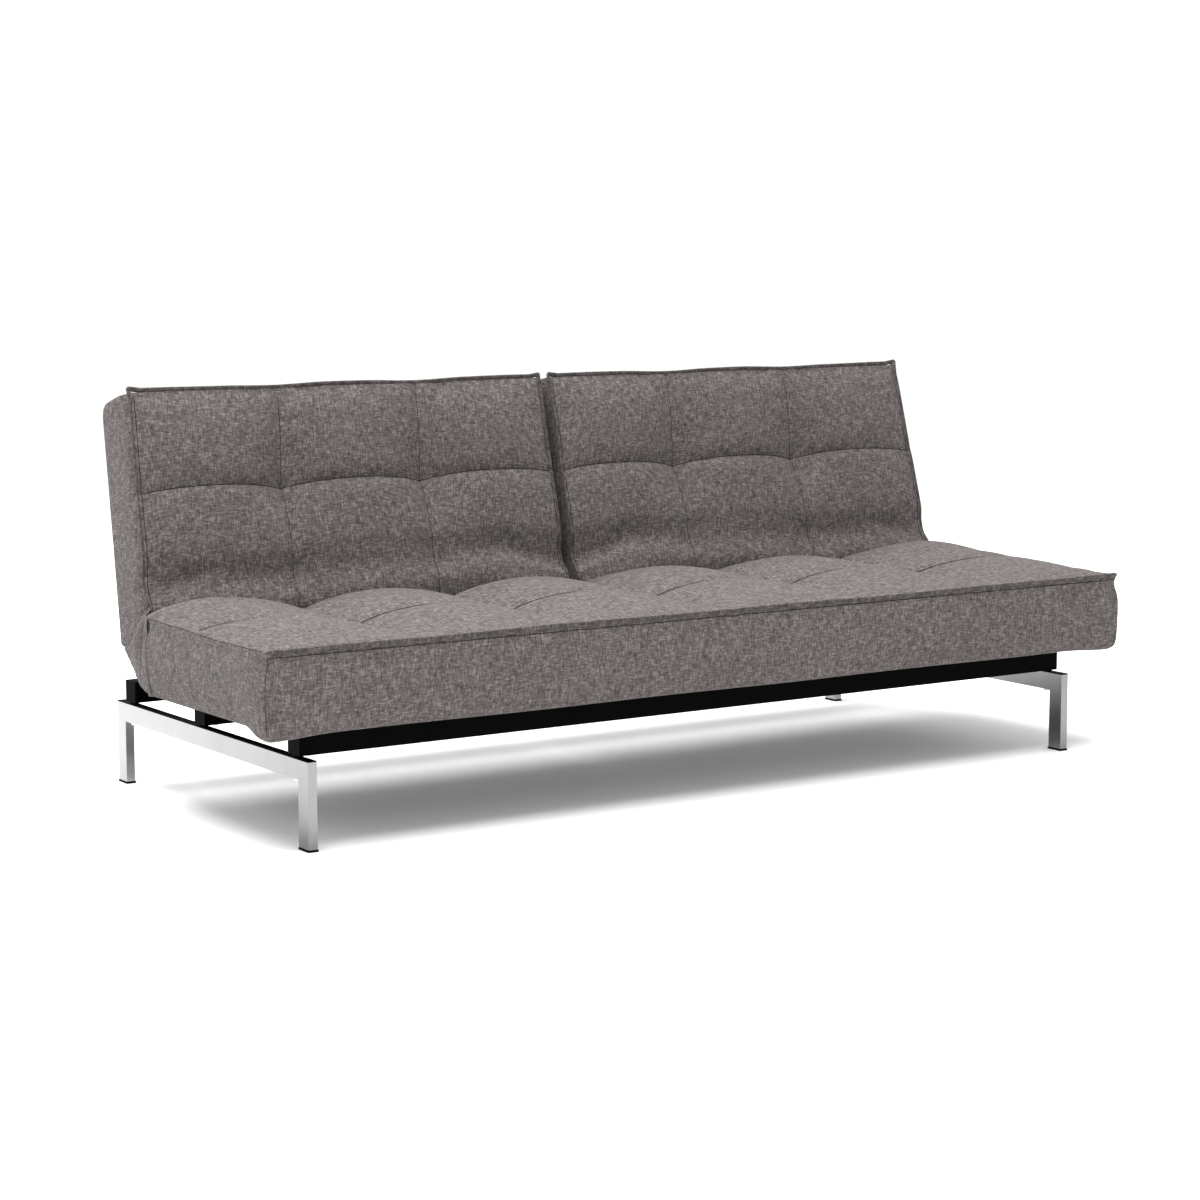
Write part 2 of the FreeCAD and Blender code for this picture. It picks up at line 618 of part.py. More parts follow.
def seat_cushion():
    """Foam block in its fabric cover, and the dust cover under the box."""
    foam = node(seat_solid("seat_foam", "cover_thick"), "seat_foam")
    node(cut("seat_cover", seat_solid("seat_cover_outer", "0"), foam), "seat_cover")
    dust = new_body("seat_dust_cover")
    half = "(seat_width / 2 - 8)"
    sheet_outline = rectangle(f"-{half}", half, f"{BOARD_FRONT} + board_thick", "rear_board_y + board_thick")
    holes = [("circle", across(sign, x), y, "screw_hole")
             for sign in SIDES.values() for x in ARM_MIDDLE_X.values() for y in SEAT_SCREW_Y.values()]
    add_pad(dust, "XY_Plane", "board_bottom - dust_thick", "dust_thick", sheet_outline, *holes)
    node(dust, "seat_dust_cover")


def rest_pads():
    """Rubber pads on the rear rail that carry the backs when they lie flat."""
    pads = []
    for side, sign in SIDES.items():
        for index, x in enumerate(("rest_pad_inner_x", "rest_pad_outer_x")):
            pads.append(cylinder(f"rest_pad_{index}_{side}", "z",
                                 (across(sign, x), "rear_rail_y", RAIL_TOP),
                                 "rest_pad_height", "rest_pad_radius"))
    node(group("rest_pads", pads), "rest_pads")


# ---------------------------------------------------------------- backs
def taper(body, sign, inset="0"):
    """Cut the outer side so that a back narrows from its lower end to its top."""
    wide, narrow = f"back_outer_x - {inset}", f"back_outer_x - back_taper - {inset}"
    wedge = [(across(sign, wide), "0"), (across(sign, narrow), "back_length"),
             (across(sign, wide), "back_length")]
    add_pocket(body, "XY_Plane", "-120", "240", wedge)


def hinge_slots(body, sign, bottom, top, end, spare="0"):
    """Cut room for the hinges out of a back's lower end."""
    slots = [rectangle(across(sign, f"{low} - {spare}"), across(sign, f"{high} + {spare}"), "-80", end)
             for low, high in SLOT_X.values()]
    add_pocket(body, "XY_Plane", bottom, f"({top}) - ({bottom})", *slots)


def back_solid(name, sign, inset):
    """Front cushion of a back: a flat pad that ends in a round knuckle about the hinge axis."""
    body = new_body(name)
    inner, outer = f"back_inner_x + {inset}", f"back_outer_x - {inset}"
    start, length = span(sign, inner, outer)
    edge = f"back_length - {inset}"
    face = f"knuckle - {inset}"
    profile = [("0", f"pad_bottom + {inset}"), (edge, f"pad_bottom + {inset}"),
               (edge, f"{face} - 8"), (f"{edge} - 8", face), ("0", face)]
    add_pad(body, "YZ_Plane", start, length, profile)
    add_pad(body, "YZ_Plane", start, length, ("circle", "0", "0", face))
    taper(body, sign, inset)
    hinge_slots(body, sign, "-60", f"slot_top + {inset}", f"slot_length + {inset}", inset)
    return body


def rear_pad(side, sign):
    """Upholstered pad over the rear of a back's frame."""
    body = new_body(f"back_{side}_rear_pad")
    start, length = span(sign, "back_inner_x", "back_outer_x")
    profile = [("-5", "rear_pad_front"), ("back_length", "rear_pad_front"),
               ("back_length", "rear_pad_top"), ("40", "rear_pad_deep"), ("0", "rear_pad_deep + 5"),
               ("-15", "rear_pad_deep + 22")]
    add_pad(body, "YZ_Plane", start, length, profile)
    taper(body, sign)
    hinge_slots(body, sign, "-110", "-50", "30")
    node(stand_up(body), f"back_{side}_rear_pad")


def back_frame(side, sign):
    """Two cross rails and three uprights of square tube, with slats across their front."""
    top = "tube_bottom + tube"
    first, last = UPRIGHT_X["inner"], f"{UPRIGHT_X['outer']} + upright_width"
    rails = []
    for end, u in (("lower", "first_rail_u"), ("upper", "last_rail_u")):
        body = new_body(f"back_{side}_{end}_rail")
        start, length = span(sign, first, last)
        outer = rectangle(u, f"{u} + tube", "tube_bottom", top)
        inner = rectangle(f"{u} + tube_wall", f"{u} + tube - tube_wall",
                          "tube_bottom + tube_wall", f"{top} - tube_wall")
        add_pad(body, "YZ_Plane", start, length, outer, inner)
        rails.append(body)
    node(stand_up(group(f"back_{side}_rails", rails)), f"back_{side}_rails")
    uprights = []
    for name, x in UPRIGHT_X.items():
        body = new_body(f"back_{side}_upright_{name}")
        outer = rectangle(across(sign, x), across(sign, f"{x} + upright_width"), "tube_bottom", top)
        inner = rectangle(across(sign, f"{x} + tube_wall"), across(sign, f"{x} + upright_width - tube_wall"),
                          "tube_bottom + tube_wall", f"{top} - tube_wall")
        add_pad(body, "XZ_Plane", "-last_rail_u", "last_rail_u - first_rail_u - tube", outer, inner)
        if name != "middle":
            start, length = span(sign, f"{x} - 1", f"{x} + upright_width + 1")
            holes = [("circle", u, HINGE_BOLT_V, "bolt_radius") for u in HINGE_BOLT_U.values()]
            add_pocket(body, "YZ_Plane", start, length, *holes)
        uprights.append(body)
    node(stand_up(group(f"back_{side}_uprights", uprights)), f"back_{side}_uprights")
    slats = []
    for index in range(5):
        x = f"back_slat_start + {index} * back_slat_pitch"
        start, width = span(sign, f"{x} - slat_width / 2", f"{x} + slat_width / 2")
        slats.append(box(f"back_{side}_slat_{index}", (start, "first_rail_u + 12", top),
                         (width, "last_rail_u - first_rail_u", "slat_thick")))
    node(stand_up(group(f"back_{side}_slats", slats)), f"back_{side}_slats")


def hinge_arm(hinge, side, sign):
    """Moving arm: a boss on the pivot bolt and a strap bolted to an upright."""
    body = new_body(f"hinge_arm_{hinge}_{side}")
    start, length = span(sign, MOVING_X[hinge], f"{MOVING_X[hinge]} + plate_thick")
    strap = [("21", "5"), ("70", "-40"), ("190", "-40"), ("190", "-62"), ("58", "-62"), ("-8", "-20")]
    add_pad(body, "YZ_Plane", start, length, strap)
    add_pad(body, "YZ_Plane", start, length, ("circle", "0", "0", "moving_boss"))
    holes = [("circle", u, HINGE_BOLT_V, "bolt_radius") for u in HINGE_BOLT_U.values()]
    holes.append(("circle", "0", "0", "pivot_radius + running_gap"))
    if hinge == "outer":
        holes.append(("circle", "pawl_u", "pawl_v", "pin_radius"))
    add_pocket(body, "YZ_Plane", f"{start} - 1", f"{length} + 2", *holes)
    return body


def back_hinge_parts(side, sign):
    arms = [hinge_arm(hinge, side, sign) for hinge in HINGES]
    node(stand_up(group(f"back_{side}_hinge_arms", arms)), f"back_{side}_hinge_arms")
    bolts = []
    for end, u in HINGE_BOLT_U.items():
        inner = (f"{MOVING_X['inner']} - bolt_head", MOVING_X["inner"],
                 f"{UPRIGHT_X['inner']} + upright_width + bolt_head",
                 f"{UPRIGHT_X['inner']} + upright_width")
        outer = (f"{MOVING_X['outer']} + plate_thick + bolt_head", f"{MOVING_X['outer']} + plate_thick",
                 f"{UPRIGHT_X['outer']} - bolt_head", UPRIGHT_X["outer"])
        for hinge, points in (("inner", inner), ("outer", outer)):
            bolts.append(crosswise_bolt(f"back_bolt_{end}_{hinge}_{side}", sign, u, HINGE_BOLT_V,
                                        points, "bolt_radius", "bolt_head_radius"))
    node(stand_up(group(f"back_{side}_arm_bolts", bolts)), f"back_{side}_arm_bolts")


def pawl(side, sign):
    """Locking pawl on its pin, lifted just clear of the teeth, with a coil spring round the pin."""
    body = new_body(f"pawl_{side}")
    start, length = span(sign, PAWL_X, f"{PAWL_X} + pawl_thick")
    lever = [("pawl_u - 1", "pawl_v - 6.9"), ("pawl_u + 1", "pawl_v + 6.9"),
             ("18", "-38.5"), ("-2", "-38.2"), ("-8.85", "-33.35"), ("-8.95", "-29.55"),
             ("-10.6", "-32.95"), ("-12", "-37.5"), ("-6", "-45")]
    add_pad(body, "YZ_Plane", start, length, lever)
    add_pad(body, "YZ_Plane", start, length, ("circle", "pawl_u", "pawl_v", "pawl_boss"))
    add_pocket(body, "YZ_Plane", f"{start} - 1", f"{length} + 2",
               ("circle", "pawl_u", "pawl_v", "pin_radius + running_gap"))
    node(stand_up(body), f"pawl_{side}")

    pin = new_body(f"pawl_pin_{side}")
    pin_end = f"({PAWL_X} + pawl_thick + spring_length + 1.6)"
    start, length = span(sign, MOVING_X["outer"], pin_end)
    add_pad(pin, "YZ_Plane", start, length, ("circle", "pawl_u", "pawl_v", "pin_radius"))
    start, length = span(sign, pin_end, f"{pin_end} + 1.5")
    add_pad(pin, "YZ_Plane", start, length, ("circle", "pawl_u", "pawl_v", "spring_radius + 1"))
    node(stand_up(pin), f"pawl_pin_{side}")

    node(pawl_spring(side, sign), f"pawl_spring_{side}")


def pawl_spring(side, sign):
    """Flat-wire coil spring round the pawl's pin, swept along a helix."""
    coil = Part.makeHelix(number("spring_pitch"), number("spring_length"), number("spring_radius"))
    centre, half = number("spring_radius"), number("spring_wire")
    corners = [FreeCAD.Vector(centre + half * i, 0, half * k * 0.8)
               for i, k in ((-1, -1), (1, -1), (1, 1), (-1, 1), (-1, -1))]
    spring = doc.addObject("Part::Feature", f"pawl_spring_{side}")
    section = Part.makePolygon(corners)
    spring.Shape = Part.Wire(coil.Edges).makePipeShell([section], True, True)
    low = number(f"{PAWL_X} + pawl_thick + spring_wire + 0.2")
    if sign < 0:
        low = -low - number("spring_length")
    along_pin = FreeCAD.Placement(
        FreeCAD.Vector(low, number("pawl_u"), number("pawl_v")),
        FreeCAD.Rotation(FreeCAD.Vector(0, 1, 0), 90))
    standing = FreeCAD.Placement(
        FreeCAD.Vector(0, number("pivot_y"), number("pivot_z")),
        FreeCAD.Rotation(FreeCAD.Vector(1, 0, 0), number("lean")))
    spring.Placement = standing.multiply(along_pin)
    return spring


def back(side, sign):
    foam = stand_up(back_solid(f"back_{side}_foam", sign, "cover_thick"))
    node(foam, f"back_{side}_foam")
    outer = stand_up(back_solid(f"back_{side}_cover_outer", sign, "0"))
    node(cut(f"back_{side}_cover", outer, foam), f"back_{side}_cover")
    rear_pad(side, sign)
    back_frame(side, sign)
    back_hinge_parts(side, sign)
    pawl(side, sign)


# ---------------------------------------------------------------- build
for side_name, side_sign in SIDES.items():
    leg_frame(side_name, side_sign)
    for end_name in ("front", "rear"):
        foot(end_name, side_name, side_sign)
leg_strips()
for rail_name, rail_y in RAILS.items():
    rail(rail_name, rail_y)
rail_end_caps()
leg_joint_parts()
seat_arms()
seat_arm_fasteners()
hinge_plates()
hinge_plate_bolts()
pivot_bolts()
for side_name, side_sign in SIDES.items():
    ratchet_sector(side_name, side_sign)
seat_box()
seat_slats()
seat_cushion()
rest_pads()
for side_name, side_sign in SIDES.items():
    back(side_name, side_sign)

doc.recompute()


# ---------------------------------------------------------------- checks and files
for thing in doc.Objects:
    if any(word in thing.State for word in ("Invalid", "Error")):
        raise RuntimeError(f"{thing.Name} is {thing.State}")
for thing in NODES:
    if thing.Shape.isNull() or not thing.Shape.isValid():
        raise RuntimeError(f"{thing.Label} has no valid shape")

os.makedirs("parts", exist_ok=True)
for thing in NODES:
    thing.Shape.exportStep(os.path.join("parts", f"{thing.Label}.step"))
    extent = thing.Shape.BoundBox
    print(f"{thing.Label}: {len(thing.Shape.Solids)} solids, {thing.Shape.Volume / 1000:.1f} cm3, "
          f"x {extent.XMin:.1f}..{extent.XMax:.1f} y {extent.YMin:.1f}..{extent.YMax:.1f} "
          f"z {extent.ZMin:.1f}..{extent.ZMax:.1f}")
print(len(NODES), "sub-parts")
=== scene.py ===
"""Looks of the futon sofa bed: upholstery, flanges, gussets, materials, light and camera."""

import json
import math

import bmesh
import bpy
import numpy as np
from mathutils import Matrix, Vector
from mathutils.bvhtree import BVHTree


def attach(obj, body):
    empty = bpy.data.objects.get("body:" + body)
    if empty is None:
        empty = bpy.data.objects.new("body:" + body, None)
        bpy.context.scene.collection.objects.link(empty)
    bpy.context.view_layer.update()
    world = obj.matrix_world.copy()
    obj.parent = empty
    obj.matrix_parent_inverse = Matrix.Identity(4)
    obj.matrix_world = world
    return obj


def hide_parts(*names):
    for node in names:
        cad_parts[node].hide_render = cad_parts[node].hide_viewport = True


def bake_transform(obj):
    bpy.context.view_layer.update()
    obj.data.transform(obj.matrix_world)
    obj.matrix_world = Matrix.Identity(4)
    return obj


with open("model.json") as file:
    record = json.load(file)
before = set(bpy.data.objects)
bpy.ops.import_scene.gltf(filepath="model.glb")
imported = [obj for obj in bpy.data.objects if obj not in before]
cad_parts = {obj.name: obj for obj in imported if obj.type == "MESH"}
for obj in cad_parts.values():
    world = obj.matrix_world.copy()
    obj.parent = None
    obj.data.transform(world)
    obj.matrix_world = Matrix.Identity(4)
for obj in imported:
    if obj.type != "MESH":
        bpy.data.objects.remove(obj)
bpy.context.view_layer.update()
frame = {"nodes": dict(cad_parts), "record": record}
scene = bpy.context.scene

MM = 0.001
PIVOT_Y, PIVOT_Z = 186.0, 340.0          # hinge axis of both backs, mm
LEAN = math.radians(90.0 - 76.2)         # lean of the backs at rest
LEAN_SIN, LEAN_COS = math.sin(LEAN), math.cos(LEAN)
SIDES = {"left": -1, "right": 1}
LAYERS = [0.0, 0.03, 0.08, 0.16, 0.27, 0.39, 0.51, 0.62, 0.72, 0.81, 0.88, 0.93, 0.97, 1.0]
PUFF_PRESSURE, PUFF_FRAMES = 4.0, 20     # air pressure in a cushion, and how long it swells
PUFF_SLACK = 0.012                       # share by which a cover is cut larger than its shape


# ---------------------------------------------------------------- geometry helpers
def from_back(x, u, v):
    """Point of a back given along the hinge (x), up the back (u) and out of its front (v), in mm."""
    y = PIVOT_Y + LEAN_SIN * u - LEAN_COS * v
    z = PIVOT_Z + LEAN_COS * u + LEAN_SIN * v
    return (x, y, z)


def back_way(x, u, v):
    """Direction given along the hinge (x), up the back (u) and out of its front (v)."""
    return Vector(from_back(x, u, v)) - Vector(from_back(0.0, 0.0, 0.0))


def smooth(value, low=0.0, high=1.0):
    """Smooth step from 0 at low to 1 at high."""
    t = min(1.0, max(0.0, (value - low) / (high - low)))
    return t * t * (3.0 - 2.0 * t)


def round_edge(a, b, radius):
    """Round a square edge: a and b are the depths inside its two faces."""
    if a >= radius or b >= radius:
        return a, b
    p, q = radius - a, radius - b
    scale = max(p, q) / math.hypot(p, q)
    return radius - p * scale, radius - q * scale


def hill(value, centre, half_width):
    """Smooth bump of height 1 at centre that ends half_width away."""
    t = abs(value - centre) / half_width
    return 0.0 if t >= 1.0 else (1.0 - t * t) ** 2


def stations(breaks, step, tight=2.4):
    """Values from the first break to the last, about step apart, with a close pair at each inner break."""
    values = [breaks[0]]
    for number, (low, high) in enumerate(zip(breaks, breaks[1:])):
        start = low if number == 0 else low + tight
        end = high if number == len(breaks) - 2 else high - tight
        count = max(1, round((end - start) / step))
        if number > 0:
            values.append(start)
        values += [start + (end - start) * i / count for i in range(1, count + 1)]
        if number < len(breaks) - 2:
            values.append(high)
    return values


def close_to(values, wanted, reach):
    """Insert extra stations next to both ends so that edges stay crisp."""
    low, high = wanted
    extra = [low + reach, low + 2.6 * reach, high - reach, high - 2.6 * reach]
    kept = [v for v in values if v in wanted or min(abs(v - low), abs(v - high)) > 3.8 * reach]
    return sorted(set(kept + extra))


def share_across(value, breaks):
    """How far the value lies across its panel between two breaks, from 0 to 1."""
    for low, high in zip(breaks, breaks[1:]):
        if value <= high:
            return (value - low) / (high - low)
    return 1.0


def shell(name, xs, ys, zs, deep, warp):
    """Closed box-like surface on a lattice, placed by warp, with one UV panel in metres per side.

    zs runs from 0 to 1 through a thickness of deep mm. Also returns each lattice point's vertex number."""
    index, points, faces, uvs = {}, [], [], []

    def vertex(i, j, k):
        if (i, j, k) not in index:
            index[(i, j, k)] = len(points)
            points.append(Vector(warp(xs[i], ys[j], zs[k])) * MM)
        return index[(i, j, k)]

    def face(corners, flat):
        faces.append([vertex(*c) for c in corners])
        uvs.extend((a * MM, b * MM) for a, b in flat)

    last_x, last_y, last_z = len(xs) - 1, len(ys) - 1, len(zs) - 1
    for i in range(last_x):
        for j in range(last_y):
            square = [(i, j), (i + 1, j), (i + 1, j + 1), (i, j + 1)]
            flat = [(xs[a], ys[b]) for a, b in square]
            face([(a, b, last_z) for a, b in square], flat)
            face([(a, b, 0) for a, b in reversed(square)], list(reversed(flat)))
        for k in range(last_z):
            square = [(i, k), (i + 1, k), (i + 1, k + 1), (i, k + 1)]
            flat = [(xs[a], zs[b] * deep) for a, b in square]
            face([(a, 0, b) for a, b in square], flat)
            face([(a, last_y, b) for a, b in reversed(square)], list(reversed(flat)))
    for j in range(last_y):
        for k in range(last_z):
            square = [(j, k), (j + 1, k), (j + 1, k + 1), (j, k + 1)]
            flat = [(ys[a], zs[b] * deep) for a, b in square]
            face([(last_x, a, b) for a, b in square], flat)
            face([(0, a, b) for a, b in reversed(square)], list(reversed(flat)))
    piece = mesh_piece(name, points, faces, uvs)
    return piece, index


def mesh_piece(name, points, faces, uvs):
    """Mesh object from points in metres, faces and one UV per face corner."""
    mesh = bpy.data.meshes.new(name)
    mesh.from_pydata([tuple(p) for p in points], [], faces)
    layer = mesh.uv_layers.new(name="panels")
    layer.data.foreach_set("uv", np.array(uvs, np.float32).ravel())
    for polygon in mesh.polygons:
        polygon.use_smooth = True
    mesh.validate()
    piece = bpy.data.objects.new(name, mesh)
    scene.collection.objects.link(piece)
    return piece


def grid_piece(name, rows, flat_rows):
    """Open sheet from rows of points in mm, with flat_rows giving each point's UV in mm."""
    points = [Vector(p) * MM for row in rows for p in row]
    width = len(rows[0])
    faces, uvs = [], []
    for r in range(len(rows) - 1):
        for c in range(width - 1):
            quad = [(r, c), (r, c + 1), (r + 1, c + 1), (r + 1, c)]
            faces.append([a * width + b for a, b in quad])
            uvs += [(flat_rows[a][b][0] * MM, flat_rows[a][b][1] * MM) for a, b in quad]
    return mesh_piece(name, points, faces, uvs)


def face_outward(piece):
    """Turn all faces of a piece outward."""
    mesh = bmesh.new()
    mesh.from_mesh(piece.data)
    bmesh.ops.recalc_face_normals(mesh, faces=mesh.faces)
    mesh.to_mesh(piece.data)
    mesh.free()


def apply_modifiers(piece):
    """Replace the piece's mesh with its evaluated one."""
    graph = bpy.context.evaluated_depsgraph_get()
    mesh = bpy.data.meshes.new_from_object(piece.evaluated_get(graph))
    piece.modifiers.clear()
    piece.data = mesh


def subdivide(piece):
    """Round the piece off with one step of a subdivision surface."""
    modifier = piece.modifiers.new("round", "SUBSURF")
    modifier.levels = 1
    modifier.render_levels = 1
    modifier.boundary_smooth = "PRESERVE_CORNERS"
    apply_modifiers(piece)


def puff(piece, held, cap):
    """Inflate the piece as cloth.

    held gives each vertex's pin weight, and cap is the farthest that it may move, in metres."""
    rest = np.array([v.co for v in piece.data.vertices])
    group = piece.vertex_groups.new(name="pins")
    for number, weight in enumerate(held):
        if weight > 0.0:
            group.add([number], weight, "REPLACE")
    cloth = piece.modifiers.new("puff", "CLOTH")
    settings = cloth.settings
    settings.quality = 5
    settings.mass = 0.3
    settings.tension_stiffness = 25.0
    settings.compression_stiffness = 25.0
    settings.shear_stiffness = 8.0
    settings.bending_stiffness = 0.6
    settings.use_pressure = True
    settings.uniform_pressure_force = PUFF_PRESSURE
    settings.effector_weights.gravity = 0.0
    settings.vertex_group_mass = group.name
    settings.pin_stiffness = 5.0
    settings.shrink_min = -PUFF_SLACK
    cloth.collision_settings.use_self_collision = False
    cloth.collision_settings.use_collision = False
    cloth.point_cache.frame_start = 1
    cloth.point_cache.frame_end = PUFF_FRAMES
    for number in range(1, PUFF_FRAMES + 1):
        scene.frame_set(number)
    graph = bpy.context.evaluated_depsgraph_get()
    swollen = piece.evaluated_get(graph).to_mesh()
    after = np.array([v.co for v in swollen.vertices])
    piece.evaluated_get(graph).to_mesh_clear()
    move = after - rest
    length = np.linalg.norm(move, axis=1)
    move *= (cap * np.tanh(length / cap) / np.maximum(length, 1e-9))[:, None]
    piece.modifiers.clear()
    piece.vertex_groups.clear()
    piece.data.vertices.foreach_set("co", (rest + move).astype(np.float32).ravel())
    piece.data.update()
    scene.frame_set(1)


def tube(name, path, width, height, normals, turn=8):
    """Flat oval tube along path; normals give the way its width stands at each point. All in mm."""
    rows, flat_rows = [], []
    travelled = 0.0
    for number, point in enumerate(path):
        here = Vector(point)
        before = Vector(path[max(0, number - 1)])
        after = Vector(path[min(len(path) - 1, number + 1)])
        along = (after - before).normalized()
        stand = Vector(normals[number])
        stand = (stand - along * stand.dot(along)).normalized()
        across = along.cross(stand)
        if number:
            travelled += (here - before).length
        ends = number in (0, len(path) - 1)
        shrink = 0.25 if ends else 1.0
        row, flat = [], []
        for step in range(turn + 1):
            angle = 2.0 * math.pi * step / turn
            out = stand * (0.5 * width * math.cos(angle) * shrink)
            side = across * (0.5 * height * math.sin(angle) * shrink)
            row.append(here + out + side)
            flat.append((travelled, (width + height) * step / turn))
        rows.append(row)
        flat_rows.append(flat)
    piece = grid_piece(name, rows, flat_rows)
    mesh = bmesh.new()
    mesh.from_mesh(piece.data)
    bmesh.ops.remove_doubles(mesh, verts=mesh.verts, dist=0.00002)
    bmesh.ops.holes_fill(mesh, edges=mesh.edges)
    bmesh.ops.recalc_face_normals(mesh, faces=mesh.faces)
    mesh.to_mesh(piece.data)
    mesh.free()
    return piece


# ---------------------------------------------------------------- seat upholstery
SEAT_HALF, SEAT_FRONT, SEAT_REAR = 1050.0, -438.0, 139.0
SEAT_SEAMS_X = [-700.0, -350.0, 0.0, 350.0, 700.0]
SEAT_SEAM_Y = -143.0
SEAT_BREAKS_X = [-SEAT_HALF] + SEAT_SEAMS_X + [SEAT_HALF]
SEAT_BREAKS_Y = [SEAT_FRONT, SEAT_SEAM_Y, SEAT_REAR]
SEAT_LEVEL, SEAT_CROWN = 389.0, 411.0    # height along the seams and on top of a bump
SEAT_UNDER = 238.0                       # height of the underside, where it rests on the rails
OUTER_PEAK = 0.62                        # where the bump of an outer panel is highest, from 0 to 1
FRONT_PEAK = 0.72                        # the same from the front edge to the long seam
HINGE_START_Y = 60.0                     # behind this line the seat's ends narrow towards the hinges
HINGE_LOW, HINGE_MID = 241.0, 284.0      # the rear wall slants out between these heights


def seat_bump(x, y):
    """Swell of the seat across its width: 0 along the seams and about 1 between them."""
    last_seam = SEAT_SEAMS_X[-1]
    if abs(x) <= last_seam:
        return 1.0 - abs(2.0 * share_across(x, SEAT_BREAKS_X) - 1.0) ** 1.9
    out = (abs(x) - last_seam) / (SEAT_HALF - last_seam)
    if out < OUTER_PEAK:
        bump = 1.0 - abs(1.0 - out / OUTER_PEAK) ** 1.9
    else:
        bump = 1.0 - 0.85 * ((out - OUTER_PEAK) / (1.0 - OUTER_PEAK)) ** 2
    return bump * (1.0 + 0.40 * smooth(y, -60.0, 80.0))


def seat_ridge(y):
    """Swell of the seat from front to rear: low at the front edge, full between the long seams."""
    if y > SEAT_SEAM_Y:
        depth = (y - SEAT_SEAM_Y) / (SEAT_REAR - SEAT_SEAM_Y)
        return 1.0 - 0.24 * abs(2.0 * depth - 1.0) ** 2.2
    depth = (y - SEAT_FRONT) / (SEAT_SEAM_Y - SEAT_FRONT)
    if depth < FRONT_PEAK:
        ridge = smooth(depth, 0.0, FRONT_PEAK)
    else:
        ridge = 1.0 - 0.06 * ((depth - FRONT_PEAK) / (1.0 - FRONT_PEAK)) ** 2
    return ridge * 0.85


def seat_top(x, y):
    """Height of the tufted seat top."""
    bump, ridge = seat_bump(x, y), seat_ridge(y)
    height = SEAT_LEVEL + (SEAT_CROWN - SEAT_LEVEL) * bump * ridge - 5.0 * (1.0 - bump) * ridge
    # a deep pull where seams cross, and a narrow groove along each seam
    crossing = min(math.hypot((x - b) / 1.25, y - SEAT_SEAM_Y) for b in SEAT_SEAMS_X)
    height -= 9.0 * math.exp(-crossing / 38.0)
    seam_x = min(abs(x - b) for b in SEAT_SEAMS_X)
    height -= 2.0 * math.exp(-abs(y - SEAT_SEAM_Y) / 2.5) + 2.0 * math.exp(-seam_x / 2.5)
    # both ends rise a little towards the rear, and the rear edge falls off under the backs
    height += 5.0 * smooth(abs(x), 960.0, SEAT_HALF) * smooth(y, -250.0, -60.0)
    return height - 11.0 * smooth(y, 62.0, SEAT_REAR)


def seat_under(x, y):
    """Height of the seat's underside: low along the front and its corners, flat behind."""
    drop = 11.5 + 6.5 * smooth(abs(x), 900.0, 1040.0) + 0.7 * math.sin(x / 97.0)
    margin = min(SEAT_HALF - abs(x), y - SEAT_FRONT, 72.0 - y)
    return SEAT_UNDER + 4.5 * smooth(margin, 38.0, 46.0) - drop * smooth(-y, 336.0, 404.0)


def seat_warp(x, y, z):
    """Place a lattice point of the seat; z runs from 0 at the underside to 1 at the top."""
    top = seat_top(x, y)
    under = seat_under(x, y)
    above = (top - under) * z
    side_depth = SEAT_HALF - abs(x)
    front_depth = y - SEAT_FRONT
    if y < HINGE_START_Y:
        side_depth, above = round_edge(side_depth, above, 15.0)
    front_depth, above = round_edge(front_depth, above, 13.0)
    height = under + above
    belly = math.sin(math.pi * z) ** 0.7
    # the sides pull in under the top edge and swell at mid height
    pinch = 6.5 * hill(z, 0.87, 0.15)
    near_side = 1.0 - smooth(side_depth, 0.0, 40.0)
    near_front = 1.0 - smooth(front_depth, 0.0, 40.0)
    # the front corners stick out at the top like small ears
    ear = smooth(z, 0.93, 1.0) * near_side * near_front
    new_y = SEAT_FRONT + front_depth + near_front * (0.5 * pinch - 3.0 * belly - 2.0 * ear)
    new_y += near_front * belly * 0.6 * math.sin(x / 61.0)
    out = near_side * (4.0 * belly - pinch - 2.0 + 5.0 * ear)
    half = SEAT_HALF - 38.0 * min(1.0, max(0.0, (y - 84.0) / 66.0))
    new_x = math.copysign(half - side_depth + out, x) if x else 0.0
    if y > HINGE_START_Y:
        # the rear wall slants out from the underside and leans back under the hinges
        wall = 115.0 + 12.0 * smooth(height, HINGE_MID, 322.0) + 12.0 * smooth(height, 345.0, 396.0)
        if height < HINGE_MID:
            wall = 72.0 + 43.0 * smooth(height, HINGE_LOW, HINGE_MID)
        new_y += (wall - SEAT_REAR) * smooth(y, HINGE_START_Y, SEAT_REAR)
    return (new_x, new_y, height)


def seat_upholstery():
    """The seat's cover and foam as one padded piece."""
    xs = close_to(stations(SEAT_BREAKS_X, 17.0), (-SEAT_HALF, SEAT_HALF), 4.0)
    ys = close_to(stations(SEAT_BREAKS_Y, 16.0), (SEAT_FRONT, SEAT_REAR), 4.0)
    piece, index = shell("seat_upholstery", xs, ys, LAYERS, 160.0, seat_warp)
    held = [0.0] * len(index)
    for (i, j, k), number in index.items():
        x, y, z = xs[i], ys[j], LAYERS[k]
        seam_x = min(abs(x - b) for b in SEAT_SEAMS_X) < 4.0 and z == 1.0
        seam_y = abs(y - SEAT_SEAM_Y) < 4.0 and z == 1.0
        edge = (abs(x) == SEAT_HALF or y in (SEAT_FRONT, SEAT_REAR)) and (z in (0.0, 1.0))
        upright = abs(x) == SEAT_HALF and y in (SEAT_FRONT, SEAT_REAR)
        crossing = seam_x and seam_y
        hidden = z == 0.0 or y > 80.0 and z < 1.0
        if crossing or edge or upright or hidden:
            held[number] = 1.0
        elif seam_x or seam_y:
            held[number] = 0.75
    puff(piece, held, cap=0.007)
    subdivide(piece)
    return piece


